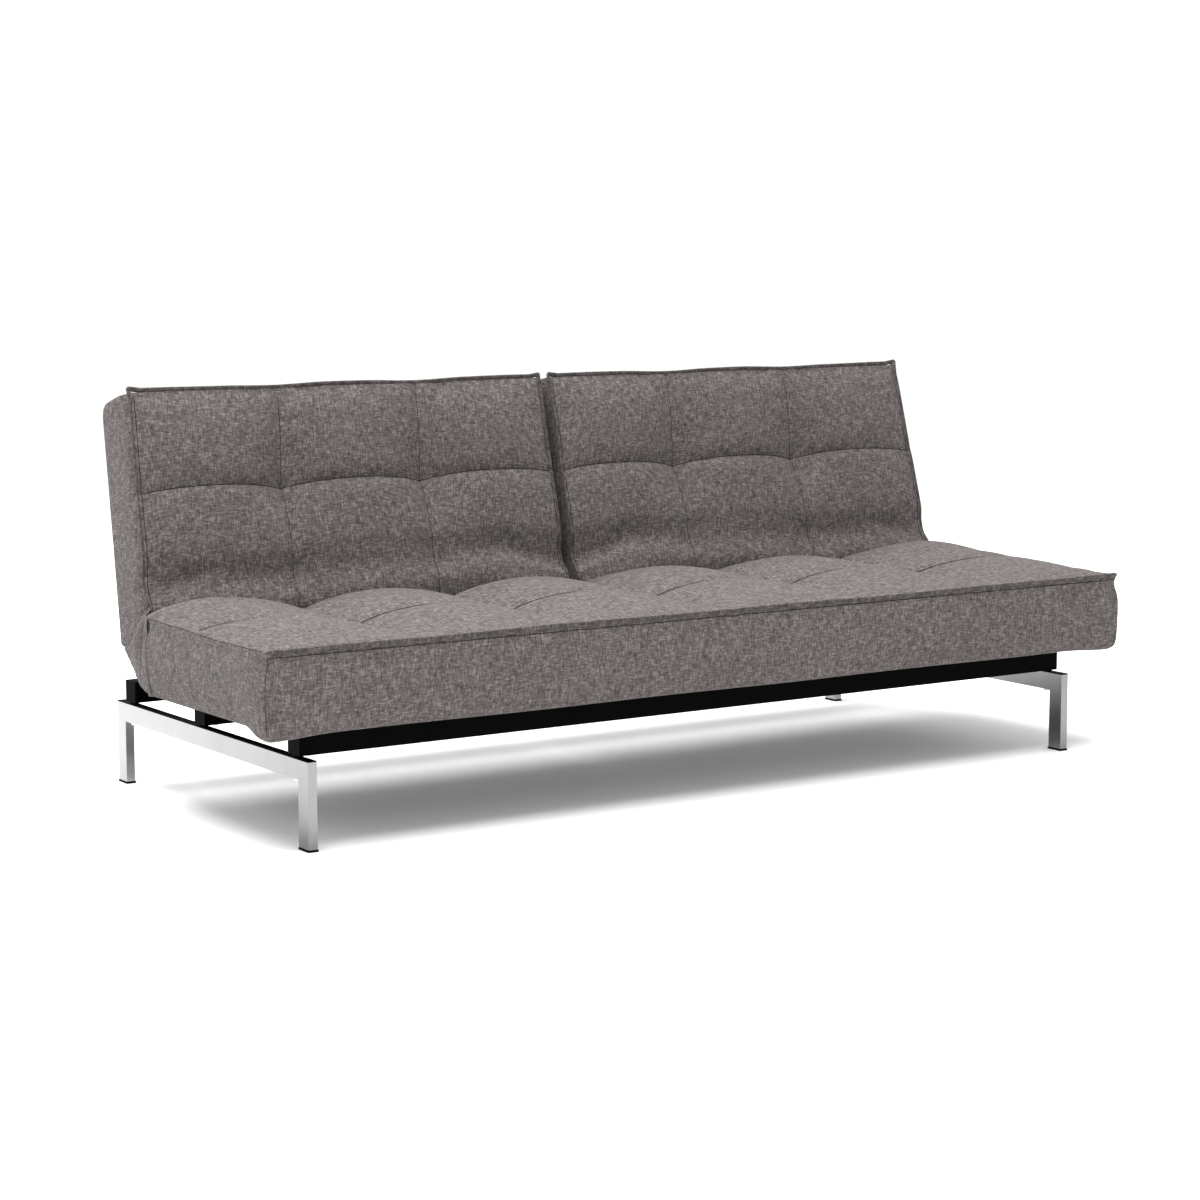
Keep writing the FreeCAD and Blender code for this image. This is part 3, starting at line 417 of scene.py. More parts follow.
# ---------------------------------------------------------------- back upholstery
BACK_INNER, BACK_OUTER, BACK_TAPER, BACK_LENGTH = 12.0, 1007.0, 23.0, 491.0
BACK_SEAMS_X = [333.0, 669.0]
BACK_BREAKS_X = [BACK_INNER] + BACK_SEAMS_X + [BACK_OUTER]
BACK_SEAM_U = 279.0
BACK_FACE = 41.0                         # how far the front stands out from the hinge axis
BACK_BOTTOM_U = -46.0
ROLL_RADIUS = 48.0                       # the lower end rolls round the hinge axis
HINGE_SLOTS_X = ((17.0, 62.0), (878.0, 924.0))
SLOT_OUTLINE = ((-90.0, -130.0), (62.0, -130.0), (62.0, 33.0), (-90.0, 33.0))
REST_PADS_X = (250.0, 750.0)             # the pads on the rear rail press here when a back lies flat
REST_PADS_U = 188.0
WRINKLES = ((78.0, 0.42, 8.5), (122.0, 0.30, 5.0), (46.0, 0.30, 4.5))   # start, slope and depth


def across_back(x, u):
    """The x of a point of a back once its outer side has narrowed towards the top."""
    share = (x - BACK_INNER) / (BACK_OUTER - BACK_INNER)
    outer = BACK_OUTER - BACK_TAPER * min(1.0, max(0.0, u / BACK_LENGTH))
    return BACK_INNER + share * (outer - BACK_INNER)


def back_arch(x):
    """Swell across a panel of a back: 0 along the upright seams and 1 between them."""
    return 1.0 - abs(2.0 * share_across(x, BACK_BREAKS_X) - 1.0) ** 2.4


def back_front(x, u):
    """How far the front of a back stands out at x (from the middle of the sofa) and u."""
    bump = back_arch(x)
    stretch = 0.8 if u > BACK_SEAM_U else 1.0
    crossing = min(math.hypot(x - b, (u - BACK_SEAM_U) * stretch) for b in BACK_SEAMS_X)
    seam_x = min(abs(x - b) for b in BACK_SEAMS_X)
    out = BACK_FACE
    if u > BACK_SEAM_U:
        rise = (u - BACK_SEAM_U) / (BACK_LENGTH - BACK_SEAM_U)
        out += 9.0 * bump * (1.0 - abs(2.0 * rise - 0.75) ** 2.2 * 0.6) - 2.0 * smooth(rise, 0.7, 1.0)
    else:
        rise = max(0.0, u) / BACK_SEAM_U
        out += 8.0 * (0.35 + 0.65 * bump) * (1.0 - abs(2.0 * rise - 1.1) ** 2.0 * 0.5)
    # a deep pull where seams cross, and a groove along each seam that fades towards the top
    out -= 12.0 * math.exp(-crossing / 24.0) + 15.0 * math.exp(-(crossing / 80.0) ** 2)
    out -= 3.4 * math.exp(-abs(u - BACK_SEAM_U) / 2.6) + 1.0 * math.exp(-abs(u - BACK_SEAM_U) / 9.0)
    upright = 2.0 * math.exp(-seam_x / 2.6) + 1.4 * math.exp(-seam_x / 10.0)
    out -= upright * (1.0 - 0.5 * smooth(u, 330.0, 430.0))
    # soft fold above the seat and the roll below it
    fold_line = 112.0 + 10.0 * math.sin(x / 150.0) - 16.0 * smooth(abs(x - 505.0), 250.0, 495.0)
    out -= 12.0 * hill(u, fold_line, 46.0) * (0.7 + 0.3 * math.sin(x / 118.0 + 0.8))
    out += 7.0 * hill(u, fold_line - 55.0, 42.0)
    # slanting wrinkles that run up from both lower corners
    for corner, way in ((BACK_INNER + 6.0, 1.0), (BACK_OUTER - 6.0, -1.0)):
        reach = (x - corner) * way
        strength = 1.0 if way > 0 else 0.55
        for offset, slope, depth in WRINKLES:
            line = offset + slope * reach - 0.0009 * reach * reach
            fade = hill(reach, 95.0, 130.0) * strength
            out -= depth * fade * hill(u, line, 24.0)
            out += 0.6 * depth * fade * hill(u, line - 27.0, 22.0)
    return out


def back_warp(sign):
    """Function that places a lattice point of the back on that side."""

    def place(x, u, v):
        """x from the middle, u up the back, v from 0 at the rear to 1 at the front."""
        front = back_front(x, u)
        # the rear is a little thicker at the top, cut away at the lower end and hollow at the rest pads
        rear = -97.0 - 3.0 * smooth(u, 30.0, 491.0) + 66.0 * smooth(-u, 12.0, 46.0)
        rear -= 2.0 * hill(u, 360.0, 120.0) * hill(x, 510.0, 480.0)
        rear += 8.0 * max(hill(math.hypot(x - pad, u - REST_PADS_U), 0.0, 62.0) for pad in REST_PADS_X)
        if u < 0.0:
            front = math.sqrt(max(0.0, ROLL_RADIUS ** 2 - u * u)) - 2.0
        thick = front - rear
        # the rear top edge is rounded, and the level seam arches up between the upright ones
        top_depth, from_rear = round_edge(BACK_LENGTH - u, thick * v, 30.0)
        new_v = rear + from_rear
        new_u = BACK_LENGTH - top_depth + 12.0 * v * back_arch(x) * hill(u, BACK_SEAM_U, 170.0)
        depth = math.sin(math.pi * v) ** 0.8
        if u >= BACK_LENGTH - 0.5:
            # the top face swells, dips at the upright seams and is full at its two front corners
            new_u += -4.0 + 4.0 * depth - 3.0 * hill(v, 0.9, 0.12) - 7.0 * (1.0 - v)
            near_seam = max(hill(x, b, 120.0) for b in BACK_SEAMS_X)
            new_u -= (1.0 + 1.5 * v) * near_seam
            if x in (BACK_INNER, BACK_OUTER):
                new_u += 6.0 * smooth(v, 0.8, 1.0)
        swell = 3.0 * depth - 5.0 * hill(v, 0.91, 0.11)
        new_x = across_back(x, u)
        if x >= BACK_OUTER - 0.5:
            # the outer side swells, and is pulled in at its lower front corner
            new_x += swell
            new_x -= 9.0 * hill(u, 26.0, 24.0) * hill(v, 0.95, 0.25)
        if x <= BACK_INNER + 0.5:
            new_x -= 0.4 * swell
        if u < 0.0:
            # the rolled lower end is shorter at the rear
            new_u = u * (0.55 + 0.45 * smooth(v, 0.0, 0.75))
        return from_back(sign * new_x, new_u, new_v)

    return place


def slot_cutter(sign):
    """Boxes where the fixed hinges pass into the lower end of a back."""
    mesh = bmesh.new()
    for slot in HINGE_SLOTS_X:
        ring = []
        for u, v in SLOT_OUTLINE:
            ring.append([mesh.verts.new(Vector(from_back(sign * x, u, v)) * MM) for x in slot])
        for a, b in zip(ring, ring[1:] + ring[:1]):
            mesh.faces.new((a[0], a[1], b[1], b[0]))
        mesh.faces.new([r[0] for r in ring])
        mesh.faces.new([r[1] for r in reversed(ring)])
    bmesh.ops.recalc_face_normals(mesh, faces=mesh.faces)
    data = bpy.data.meshes.new("slot_cutter")
    mesh.to_mesh(data)
    mesh.free()
    cutter = bpy.data.objects.new("slot_cutter", data)
    scene.collection.objects.link(cutter)
    return cutter


def back_upholstery(side, sign):
    """A back's cover, foam and rear pad as one padded piece, with the hinge slots cut out."""
    xs = close_to(stations(BACK_BREAKS_X, 15.0), (BACK_INNER, BACK_OUTER), 3.5)
    breaks_u = [BACK_BOTTOM_U, 0.0, BACK_SEAM_U, BACK_LENGTH]
    us = close_to(stations(breaks_u, 13.0), (BACK_BOTTOM_U, BACK_LENGTH), 3.5)
    order = xs if sign > 0 else list(reversed(xs))
    piece, index = shell(f"back_{side}_upholstery", order, us, LAYERS, 130.0, back_warp(sign))
    face_outward(piece)
    held = [0.0] * len(index)
    for (i, j, k), number in index.items():
        x, u, v = order[i], us[j], LAYERS[k]
        seam_x = min(abs(x - b) for b in BACK_SEAMS_X) < 4.0 and v == 1.0
        seam_u = abs(u - BACK_SEAM_U) < 4.0 and v == 1.0
        side_edge = x in (BACK_INNER, BACK_OUTER)
        end = u in (BACK_BOTTOM_U, BACK_LENGTH)
        edge = side_edge and end or (side_edge or end) and v in (0.0, 1.0)
        if edge or u < -1.0 or (seam_x and seam_u):
            held[number] = 1.0
        elif seam_u or side_edge:
            held[number] = 0.8
        elif seam_x:
            held[number] = 0.5
    puff(piece, held, cap=0.006)
    subdivide(piece)
    cutter = slot_cutter(sign)
    cut = piece.modifiers.new("slots", "BOOLEAN")
    cut.operation = "DIFFERENCE"
    cut.solver = "EXACT"
    cut.object = cutter
    apply_modifiers(piece)
    bpy.data.objects.remove(cutter)
    return piece


seat = seat_upholstery()
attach(seat, "frame")
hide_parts("seat_cover", "seat_foam")
backs = {}
for side, sign in SIDES.items():
    back = back_upholstery(side, sign)
    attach(back, f"back_{side}")
    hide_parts(f"back_{side}_cover", f"back_{side}_foam", f"back_{side}_rear_pad")
    backs[side] = back


# ---------------------------------------------------------------- flanges
BACK_MIDDLE_X = 500.0
SEAT_FLANGE, BACK_FLANGE = (13.0, 5.0), (11.0, 4.8)     # width and thickness


def seat_flange():
    """Raised seam along the seat's front edge."""
    path, ways = [], []
    end, steps = 1049.0, 150
    for step in range(steps + 1):
        x = -end + 2.0 * end * step / steps
        near_end = smooth(abs(x), 1015.0, end)
        wave = 0.8 * math.sin(x / 83.0) - 1.0 * math.sin(x / 290.0)
        y = SEAT_FRONT - 3.2 + 1.5 * near_end
        path.append((x, y, seat_top(x, SEAT_FRONT) - 2.6 + wave + 2.5 * near_end))
        ways.append((0.0, -0.42, 0.9))
    return tube("seat_front_flange", path, *SEAT_FLANGE, ways)


def back_flange(side, sign):
    """Raised seam up the inner side of a back, along its top and down its outer side."""
    path, ways = [], []
    outline = [(BACK_INNER + 2.0, 30.0), (BACK_INNER + 2.0, BACK_LENGTH - 1.0),
               (BACK_OUTER - 1.0, BACK_LENGTH - 1.0), (BACK_OUTER - 1.0, 44.0)]
    for (x0, u0), (x1, u1) in zip(outline, outline[1:]):
        steps = max(2, round(math.hypot(x1 - x0, u1 - u0) / 12.0))
        for step in range(steps + 1):
            share = step / steps
            x = x0 + (x1 - x0) * share
            u = u0 + (u1 - u0) * share
            outer_side = x > BACK_MIDDLE_X
            near_seam = max(hill(x, b, 120.0) for b in BACK_SEAMS_X) if u > BACK_LENGTH - 2.0 else 0.0
            inside_x = min(max(x, BACK_INNER + 4.0), BACK_OUTER - 4.0)
            out = back_front(inside_x, min(u, BACK_LENGTH - 4.0))
            far = min(math.hypot(x - x_end, u - BACK_LENGTH) for x_end in (BACK_INNER, BACK_OUTER))
            ear = 4.0 * hill(far, 0.0, 26.0)
            placed = across_back(x, u)
            placed += ear + 5.0 * hill(u, 40.0, 22.0) if outer_side else -0.5 * ear
            rise = u - 2.5 * near_seam + 0.8 * math.sin(x / 70.0) + ear
            path.append(from_back(sign * placed, rise, out - 1.0))
            if u0 != u1:
                ways.append(back_way(sign * (1.0 if outer_side else -0.25), 0.0, 0.9))
            else:
                ways.append(back_way(0.0, 0.75, 0.5))
    return tube(f"back_{side}_flange", path, *BACK_FLANGE, ways)


flanges = [seat_flange()]
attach(flanges[0], "frame")
for side, sign in SIDES.items():
    flange = back_flange(side, sign)
    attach(flange, f"back_{side}")
    flanges.append(flange)


# ---------------------------------------------------------------- painted seam shade: dark lines along the seams
def surface_of(piece):
    """Search tree over a piece's mesh, whose points are also its points in the scene."""
    points = [tuple(v.co) for v in piece.data.vertices]
    return BVHTree.FromPolygons(points, [tuple(p.vertices) for p in piece.data.polygons])


def seam_shade_line(name, tree, starts, width, body, way=None, rise=0.15):
    """Dark line of painted shade laid along a seam of a surface: under rays along way, or at the nearest
    points without a way.
    """
    path, ways = [], []
    for start in starts:
        if way is None:
            place, normal, _, _ = tree.find_nearest(Vector(start) * MM)
            out = normal
        else:
            place, normal, _, _ = tree.ray_cast(Vector(start) * MM, Vector(way))
            out = -Vector(way)
        if place is not None:
            path.append(tuple(place / MM + out * rise))
            ways.append(tuple(out))
    line = tube(name, path, 1.3, width, ways, 6)
    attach(line, body)
    return line


def even(low, high, steps):
    """Values from low to high in that many equal steps."""
    return [low + (high - low) * i / steps for i in range(steps + 1)]


IN_FRONT = 120.0                         # the rays to a back start this far out
into_back = back_way(0.0, 0.0, -1.0).normalized()
seam_shade_lines = []
for side, sign in SIDES.items():
    body = f"back_{side}"
    tree = surface_of(backs[side])
    level = []
    for x in even(20.0, 998.0, 140):
        u = BACK_SEAM_U + 12.0 * back_arch(x)
        level.append(from_back(sign * across_back(x, BACK_SEAM_U), u, IN_FRONT))
    seam_shade_lines.append(seam_shade_line(f"{body}_seam_level", tree, level, 2.2, body, into_back))
    for number, seam in enumerate(BACK_SEAMS_X):
        up = [from_back(sign * across_back(seam, u), u, IN_FRONT) for u in even(6.0, 468.0, 60)]
        seam_shade_lines.append(seam_shade_line(f"{body}_seam_{number + 1}", tree, up, 1.2, body, into_back))
    # painted shade along the flange seams just inside both side edges of a back
    edge_shade_lines = (("inner", BACK_INNER + 8.0, 0.0), ("outer", BACK_OUTER - 8.0, BACK_TAPER))
    for part, edge, narrowing in edge_shade_lines:
        up = [from_back(sign * (edge - narrowing * u / BACK_LENGTH), u, IN_FRONT)
              for u in even(40.0, 478.0, 40)]
        seam_shade_lines.append(seam_shade_line(f"{body}_stitch_{part}", tree, up, 1.5, body, into_back))
seat_tree = surface_of(seat)
# painted shadow line under the seat's front flange, and painted shade in the seat's seams
under_flange = [(x, -500.0, seat_top(x, SEAT_FRONT) - 11.5) for x in even(-1040.0, 1040.0, 120)]
seam_shade_lines.append(seam_shade_line("seat_front_seam_shade", seat_tree, under_flange, 1.6, "frame", (0.0, 1.0, 0.0)))
level = [(x, SEAT_SEAM_Y, 500.0) for x in even(-1040.0, 1040.0, 240)]
seam_shade_lines.append(seam_shade_line("seat_seam_level", seat_tree, level, 3.2, "frame", (0.0, 0.0, -1.0), rise=2.4))
for side, sign in SIDES.items():
    lines = {
        "corner": [seat_warp(sign * SEAT_HALF, SEAT_FRONT, z / 40.0) for z in range(3, 39)],
        "top": [seat_warp(sign * SEAT_HALF, y, 1.0) for y in even(-430.0, 60.0, 50)],
        "side": [(sign * 1053.0, 46.0 + 0.085 * (z - 239.0), z) for z in range(246, 394, 4)],
    }
    for part, points in lines.items():
        ahead = 2.0 if part == "corner" else 0.0
        outer = [(x + sign * 2.0, y - ahead, z) for x, y, z in points]
        seam_shade_lines.append(seam_shade_line(f"seat_{side}_seam_{part}", seat_tree, outer, 0.9, "frame"))


# ---------------------------------------------------------------- gussets
def chain(points, share):
    """Point at that share of the way along a chain of points."""
    lengths = [math.dist(a, b) for a, b in zip(points, points[1:])]
    left = share * sum(lengths)
    for (a, b), length in zip(zip(points, points[1:]), lengths):
        if left <= length:
            return tuple(p + (q - p) * left / length for p, q in zip(a, b))
        left -= length
    return points[-1]


GUSSET_LOW = [(50.0, 239.0), (87.0, 243.0), (120.0, 251.0), (150.0, 259.0), (187.0, 267.0),
              (228.0, 275.0), (252.0, 286.0), (273.0, 300.0)]
GUSSET_TOP = [(62.0, 393.0), (95.0, 397.0), (125.0, 400.0), (150.0, 404.0)]
GUSSET_X = 1051.0                        # distance from the middle at the seat's end
GUSSET_CREASES = ((0.20, 0.055, 2.4), (0.36, 0.05, 4.2), (0.50, 0.05, 3.4),
                  (0.63, 0.045, 4.6), (0.78, 0.05, 3.0))    # place, width and depth
GUSSET_COLUMNS, GUSSET_ROWS, TURNED_ROWS = 56, 30, 7
GUSSET_WIDTH, GUSSET_HEIGHT, TURNED_HEIGHT = 200.0, 150.0, 10.0     # laid flat; the last is for one row


def gusset_crease(across, down):
    """Depth of the creases, which fan out from the seat's end and fade towards the lower edge."""
    crease = 0.0
    for centre, width, deep in GUSSET_CREASES:
        bent = centre + 0.10 * (down - 0.4) * (centre - 0.3)
        fold = hill(across, bent, width * (0.55 + 0.9 * down)) * (1.0 - 0.75 * smooth(down, 0.45, 0.95))
        crease -= deep * fold
        crease += 0.7 * deep * hill(across, bent + 0.062, 0.055) * (1.0 - smooth(down, 0.4, 0.85))
    return crease


def gusset(side, sign):
    """Creased side fabric that joins the seat's side to the back's, turned in under the hinge."""
    grid, flat = [], []
    for row in range(GUSSET_ROWS + TURNED_ROWS):
        line, flat_line = [], []
        down = min(1.0, row / GUSSET_ROWS)
        under = max(0, row - GUSSET_ROWS)
        for column in range(GUSSET_COLUMNS + 1):
            across = column / GUSSET_COLUMNS
            top = chain(GUSSET_TOP, across)
            low = chain(GUSSET_LOW, across)
            bow = 6.0 * math.sin(math.pi * across) * math.sin(math.pi * down)
            y = top[0] + (low[0] - top[0]) * down - bow * 0.4
            z = top[1] + (low[1] - top[1]) * down + bow
            inward = 43.0 * smooth(across, 0.1, 1.0) * (1.0 - 0.35 * (1.0 - down) * (1.0 - across))
            inside = math.sin(math.pi * across) ** 0.6
            crease = gusset_crease(across, down) * smooth(down, 0.0, 0.12)
            x = GUSSET_X - inward + crease + 3.0 * inside * math.sin(math.pi * down)
            x -= 7.0 * inside * (1.0 - smooth(down, 0.0, 0.25))
            if under:
                turn = under / TURNED_ROWS
                x -= 8.0 + 62.0 * turn
                z += -1.0 + 5.0 * turn
            elif down > 0.9:
                x -= 8.0 * ((down - 0.9) / 0.1) ** 2
            line.append((sign * x, y, z))
            flat_line.append((across * GUSSET_WIDTH, GUSSET_HEIGHT * (1.0 - down) - under * TURNED_HEIGHT))
        grid.append(line)
        flat.append(flat_line)
    piece = grid_piece(f"gusset_{side}", grid, flat)
    solid = piece.modifiers.new("thickness", "SOLIDIFY")
    solid.thickness = 0.0016
    solid.offset = 1.0 if sign > 0 else -1.0
    apply_modifiers(piece)
    subdivide(piece)
    face_outward(piece)
    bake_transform(piece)
    return piece


gussets = {side: gusset(side, sign) for side, sign in SIDES.items()}


# ---------------------------------------------------------------- materials
class Nodes:
    """Small helper that adds shader nodes and links them."""

    def __init__(self, name):
        self.material = bpy.data.materials.new(name)
        self.material.use_nodes = True
        self.tree = self.material.node_tree
        self.shader = self.tree.nodes["Principled BSDF"]

    def add(self, kind, settings=None, **inputs):
        """New node with its settings and inputs; an input named i0, i1 and so on is taken by its number."""
        node = self.tree.nodes.new(kind)
        for key, value in (settings or {}).items():
            setattr(node, key, value)
        for key, value in inputs.items():
            numbered = key[0] == "i" and key[1:].isdigit()
            self.feed(node.inputs[int(key[1:]) if numbered else key], value)
        return node

    def feed(self, socket, value):
        """Link another node's output to an input, or set the input to a plain value."""
        if isinstance(value, bpy.types.NodeSocket):
            self.tree.links.new(value, socket)
        else:
            socket.default_value = value

    def maths(self, operation, a, b=0.0, clamp=False):
        """One step of arithmetic on two values."""
        settings = {"operation": operation, "use_clamp": clamp}
        return self.add("ShaderNodeMath", settings, i0=a, i1=b).outputs[0]

    def multiplied(self, share, first, second):
        """First colour multiplied by the second, as far as share says."""
        node = self.add("ShaderNodeMix", {"data_type": "RGBA", "blend_type": "MULTIPLY"})
        self.feed(node.inputs[0], share)
        self.feed(node.inputs[6], first)
        self.feed(node.inputs[7], second)
        return node.outputs[2]

    def stretched(self, source, scale, turn=0.0):
        """Place scaled along each axis and turned."""
        mapping = self.add("ShaderNodeMapping", None, Vector=source)
        mapping.inputs["Scale"].default_value = scale
        mapping.inputs["Rotation"].default_value = (0.0, 0.0, turn)
        return mapping.outputs[0]

    def noise(self, source, detail=2.0, rough=0.5):
        """Noise value at a place."""
        inputs = {"Vector": source, "Scale": 1.0, "Detail": detail, "Roughness": rough}
        return self.add("ShaderNodeTexNoise", None, **inputs).outputs["Fac"]

    def clouds(self, source, size, detail=2.0):
        """Even noise of that many cells to the unit along every axis."""
        return self.noise(self.stretched(source, (size, size, size)), detail)

    def yarns(self, across, along, count, slubs):
        """Tone of parallel yarns, count to the metre, each with its own thick and thin places."""
        row = self.maths("FLOOR", self.maths("MULTIPLY", across, count))
        shift = self.add("ShaderNodeTexWhiteNoise", {"noise_dimensions": "1D"}, W=row).outputs["Value"]
        place = self.maths("ADD", self.maths("MULTIPLY", along, slubs), self.maths("MULTIPLY", shift, 50.0))
        spread = self.maths("MULTIPLY", row, 0.618)
        point = self.add("ShaderNodeCombineXYZ", None, X=spread, Y=place).outputs[0]
        return self.noise(point)

    def ramp(self, source, *stops):
        """Colour that changes with the source value, given as places and colours."""
        node = self.add("ShaderNodeValToRGB", None, Fac=source)
        elements = node.color_ramp.elements
        while len(elements) < len(stops):
            elements.new(0.5)
        for element, (place, colour) in zip(elements, stops):
            element.position = place
            element.color = (*colour, 1.0)
        return node.outputs["Color"]

    def wave(self, source, direction, **inputs):
        """Even bands along one direction."""
        settings = {"wave_type": "BANDS", "bands_direction": direction}
        return self.add("ShaderNodeTexWave", settings, Vector=source, **inputs).outputs["Fac"]

    def bump(self, height, strength, distance):
        """Surface direction disturbed by a height."""
        node = self.add("ShaderNodeBump", None, Height=height, Strength=strength, Distance=distance)
        return node.outputs["Normal"]


YARNS, SLUBS = 430.0, 62.0               # yarns to the metre, and thick places to the metre of yarn


def fabric(name, dark, mid, light, warmth):
    """Tweedy woven fabric: uneven yarns both ways, a fine weave, speckles and a soft sheen."""
    n = Nodes(name)
    uv = n.add("ShaderNodeTexCoord").outputs["UV"]
    sides = n.add("ShaderNodeSeparateXYZ", None, i0=uv).outputs
    warp = n.yarns(sides["X"], sides["Y"], YARNS, SLUBS)
    weft = n.yarns(sides["Y"], sides["X"], YARNS, SLUBS)
    fine_warp = n.noise(n.stretched(uv, (1500.0, 260.0, 1.0)))
    fine_weft = n.noise(n.stretched(uv, (260.0, 1500.0, 1.0)))
    coarse = n.maths("MULTIPLY", n.maths("ADD", warp, weft), 0.5)
    fine = n.maths("MULTIPLY", n.maths("ADD", fine_warp, fine_weft), 0.5)
    mixed = n.maths("ADD", n.maths("MULTIPLY", coarse, 0.7), n.maths("MULTIPLY", fine, 0.3))
    tone = n.ramp(mixed, (0.365, dark), (0.50, mid), (0.635, light))
    patch = n.noise(n.stretched(uv, (9.0, 9.0, 1.0)))
    tinted = n.multiplied(n.maths("MULTIPLY", patch, 0.6, True), tone, (*warmth, 1.0))
    n.feed(n.shader.inputs["Base Color"], tinted)
    n.feed(n.shader.inputs["Roughness"], n.maths("ADD", 0.78, n.maths("MULTIPLY", fine, 0.25), True))
    bands = [n.wave(n.stretched(uv, (1.0, 1.0, 1.0), turn), "X", Scale=230.0, Distortion=0.6, Detail=1.0)
             for turn in (0.0, math.pi / 2.0)]
    weave = n.maths("MULTIPLY", bands[0], bands[1])
    height = n.maths("ADD", n.maths("MULTIPLY", weave, 0.45), mixed)
    n.feed(n.shader.inputs["Normal"], n.bump(height, 0.55, 0.0011))
    n.shader.inputs["Sheen Weight"].default_value = 0.06
    n.shader.inputs["Sheen Roughness"].default_value = 0.45
    n.shader.inputs["Specular IOR Level"].default_value = 0.2
    return n.material


def metal(name, base, rough, brush=(6.0, 900.0, 900.0), depth=0.00005, front_tone=1.0):
    """Metal with fine brushing along one way and faint cloudy wear."""
    n = Nodes(name)
    place = n.add("ShaderNodeTexCoord").outputs["Object"]
    lines = n.noise(n.stretched(place, brush), 3.0)
    clouds = n.clouds(place, 14.0, 3.0)
    low = tuple(c * 0.90 for c in base)
    tone = n.ramp(clouds, (0.3, low), (0.7, base))
    if front_tone < 1.0:
        # soft fall of light along the frame: full at the rear, front_tone at the front
        along = n.add("ShaderNodeSeparateXYZ", None, i0=place).outputs["Y"]
        front = (front_tone, front_tone, front_tone)
        fall = n.ramp(n.maths("ADD", along, 0.5), (0.05, front), (0.85, (1.0, 1.0, 1.0)))
        tone = n.multiplied(1.0, tone, fall)
    n.feed(n.shader.inputs["Base Color"], tone)
    rough_value = n.maths("ADD", n.maths("MULTIPLY", lines, 0.10), n.maths("MULTIPLY", clouds, 0.08))
    n.feed(n.shader.inputs["Roughness"], n.maths("ADD", rough_value, rough - 0.09, True))
    n.feed(n.shader.inputs["Normal"], n.bump(lines, 0.12, depth))
    n.shader.inputs["Metallic"].default_value = 1.0
    return n.material


def coated(name, base, rough, grain, strength=0.2, gloss=0.04):
    """Powder coat, plastic or rubber: fine grain with small changes of tone."""
    n = Nodes(name)
    place = n.add("ShaderNodeTexCoord").outputs["Object"]
    fine = n.clouds(place, grain)
    clouds = n.clouds(place, 18.0, 3.0)
    low = tuple(c * 0.75 for c in base)
    n.feed(n.shader.inputs["Base Color"], n.ramp(clouds, (0.3, low), (0.7, base)))
    rough_value = n.maths("ADD", rough - 0.06, n.maths("MULTIPLY", fine, 0.12), True)
    n.feed(n.shader.inputs["Roughness"], rough_value)
    n.feed(n.shader.inputs["Normal"], n.bump(fine, strength, 0.0002))
    n.shader.inputs["Specular IOR Level"].default_value = gloss
    return n.material


def wood(name, dark, light, stretch):
    """Timber with long grain streaks and rings."""
    n = Nodes(name)
    place = n.add("ShaderNodeTexCoord").outputs["Object"]
    streaks = n.noise(n.stretched(place, stretch), 6.0, 0.6)
    rings = n.wave(n.stretched(place, (2.0, 40.0, 40.0)), "Z", Scale=1.2, Distortion=6.0, Detail=2.0)
    grain = n.maths("ADD", n.maths("MULTIPLY", streaks, 0.7), n.maths("MULTIPLY", rings, 0.3))
    n.feed(n.shader.inputs["Base Color"], n.ramp(grain, (0.3, dark), (0.7, light)))
    n.feed(n.shader.inputs["Roughness"], n.maths("ADD", 0.5, n.maths("MULTIPLY", grain, 0.2), True))
    n.feed(n.shader.inputs["Normal"], n.bump(grain, 0.25, 0.0004))
    return n.material


upholstery = fabric("mottled_taupe_weave", (0.0200, 0.0180, 0.0168), (0.072, 0.0648, 0.0620),
                    (0.186, 0.170, 0.164), (1.0, 0.88, 0.88))
# painted shade: a darker copy of the upholstery weave for the raised seams, which are the same cloth
shaded_flange_weave = fabric("painted_shade_flange_weave", (0.014, 0.0125, 0.0115), (0.048, 0.043, 0.041),
                     (0.125, 0.113, 0.109), (1.0, 0.90, 0.90))
# painted seam shade: a near-black fabric tone for the dark lines laid in the seams
seam_shade_material = coated("painted_seam_shade", (0.022, 0.020, 0.019), 0.9, 2600.0, 0.4)
chrome = metal("satin_chrome", (0.29, 0.29, 0.295), 0.19, front_tone=0.70)
black_steel = coated("black_powder_coat", (0.002, 0.002, 0.0022), 0.5, 1600.0, gloss=0.008)
zinc = metal("zinc_plate", (0.62, 0.64, 0.66), 0.38, (120.0, 120.0, 120.0), 0.00003)
plastic = coated("black_plastic", (0.003, 0.003, 0.0032), 0.55, 900.0, gloss=0.01)
timber = wood("pine_board", (0.42, 0.27, 0.14), (0.70, 0.52, 0.32), (5.0, 120.0, 120.0))
birch = wood("bent_birch", (0.62, 0.46, 0.29), (0.82, 0.68, 0.48), (90.0, 5.0, 140.0))
rubber = coated("grey_rubber", (0.035, 0.035, 0.036), 0.75, 700.0, 0.3)
dust_cloth = coated("black_dust_cloth", (0.018, 0.018, 0.019), 0.9, 1400.0, 0.5)
foam = coated("grey_foam", (0.30, 0.30, 0.31), 0.95, 600.0, 0.6)

SLOT_MATERIALS = {
    "upholstery": upholstery, "chrome": chrome, "black_steel": black_steel, "zinc_steel": zinc,
    "black_plastic": plastic, "timber": timber, "birch": birch, "rubber": rubber,
    "dust_cloth": dust_cloth, "foam": foam,
}


def paint(pieces, material):
    """Give the pieces that one material."""
    for piece in pieces:
        piece.data.materials.clear()
        piece.data.materials.append(material)


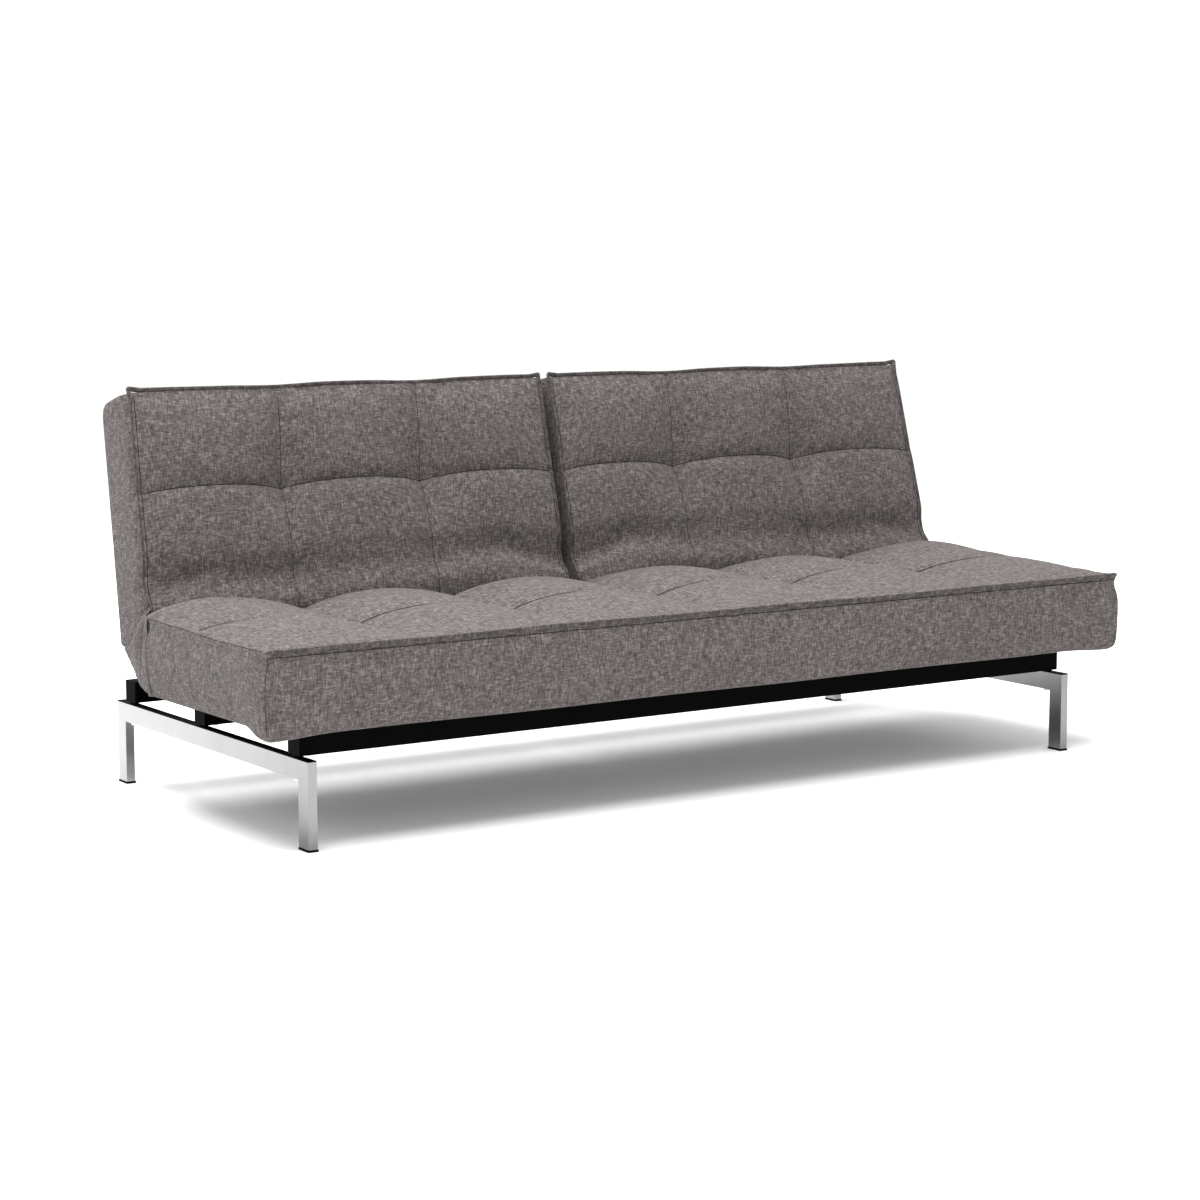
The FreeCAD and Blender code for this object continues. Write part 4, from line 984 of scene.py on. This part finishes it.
for part in frame["record"]["subparts"]:
    paint([frame["nodes"][part["node"]]], SLOT_MATERIALS[part["material_slot"]])
paint([seat, *backs.values(), *gussets.values()], upholstery)
paint(flanges, shaded_flange_weave)
# the dark seam lines carry painted shade
paint(seam_shade_lines, seam_shade_material)


# ---------------------------------------------------------------- stage, light, camera
def floor_piece():
    """Pale floor that runs far out on every side."""
    steps = (-60000.0, -14000.0, -4000.0, 4000.0, 14000.0, 60000.0)
    rows = [[(x, y, -0.3) for x in steps] for y in steps]
    flat = [[(x, y) for x in steps] for y in steps]
    piece = grid_piece("floor", rows, flat)
    n = Nodes("pale_floor")
    place = n.add("ShaderNodeTexCoord").outputs["Object"]
    tone = n.ramp(n.clouds(place, 3.0), (0.3, (0.955, 0.955, 0.955)), (0.7, (0.97, 0.97, 0.97)))
    n.feed(n.shader.inputs["Base Color"], tone)
    n.shader.inputs["Roughness"].default_value = 0.9
    n.shader.inputs["Specular IOR Level"].default_value = 0.1
    piece.data.materials.append(n.material)


def key_light():
    """Large soft light above the sofa, a little to the left."""
    place, aim = Vector((-0.9, 0.15, 4.3)), Vector((0.0, 0.0, 0.3))
    data = bpy.data.lights.new("key", "AREA")
    data.shape = "RECTANGLE"
    data.size, data.size_y = 5.6, 4.0
    data.energy = 540.0
    lamp = bpy.data.objects.new("key", data)
    lamp.location = place
    lamp.rotation_euler = (aim - place).to_track_quat("-Z", "Y").to_euler()
    scene.collection.objects.link(lamp)


floor_piece()
key_light()
world = bpy.data.worlds.new("studio")
world.use_nodes = True
surroundings = world.node_tree.nodes["Background"]
surroundings.inputs["Color"].default_value = (1.0, 1.0, 1.0, 1.0)
surroundings.inputs["Strength"].default_value = 1.06
scene.world = world
scene.view_settings.view_transform = "Standard"
scene.view_settings.look = "None"

CAMERA_DOWN, CAMERA_TURN = 7.523, -33.745    # degrees below level, and round from straight ahead
camera_data = bpy.data.cameras.new("camera")
camera_data.lens = 87.65
camera_data.sensor_width = 36.0
camera_data.clip_end = 200.0
camera = bpy.data.objects.new("camera", camera_data)
camera.location = (-3.4500, -5.1226, 1.1760)
camera.rotation_euler = (math.radians(90.0 - CAMERA_DOWN), 0.0, math.radians(CAMERA_TURN))
scene.collection.objects.link(camera)
scene.camera = camera
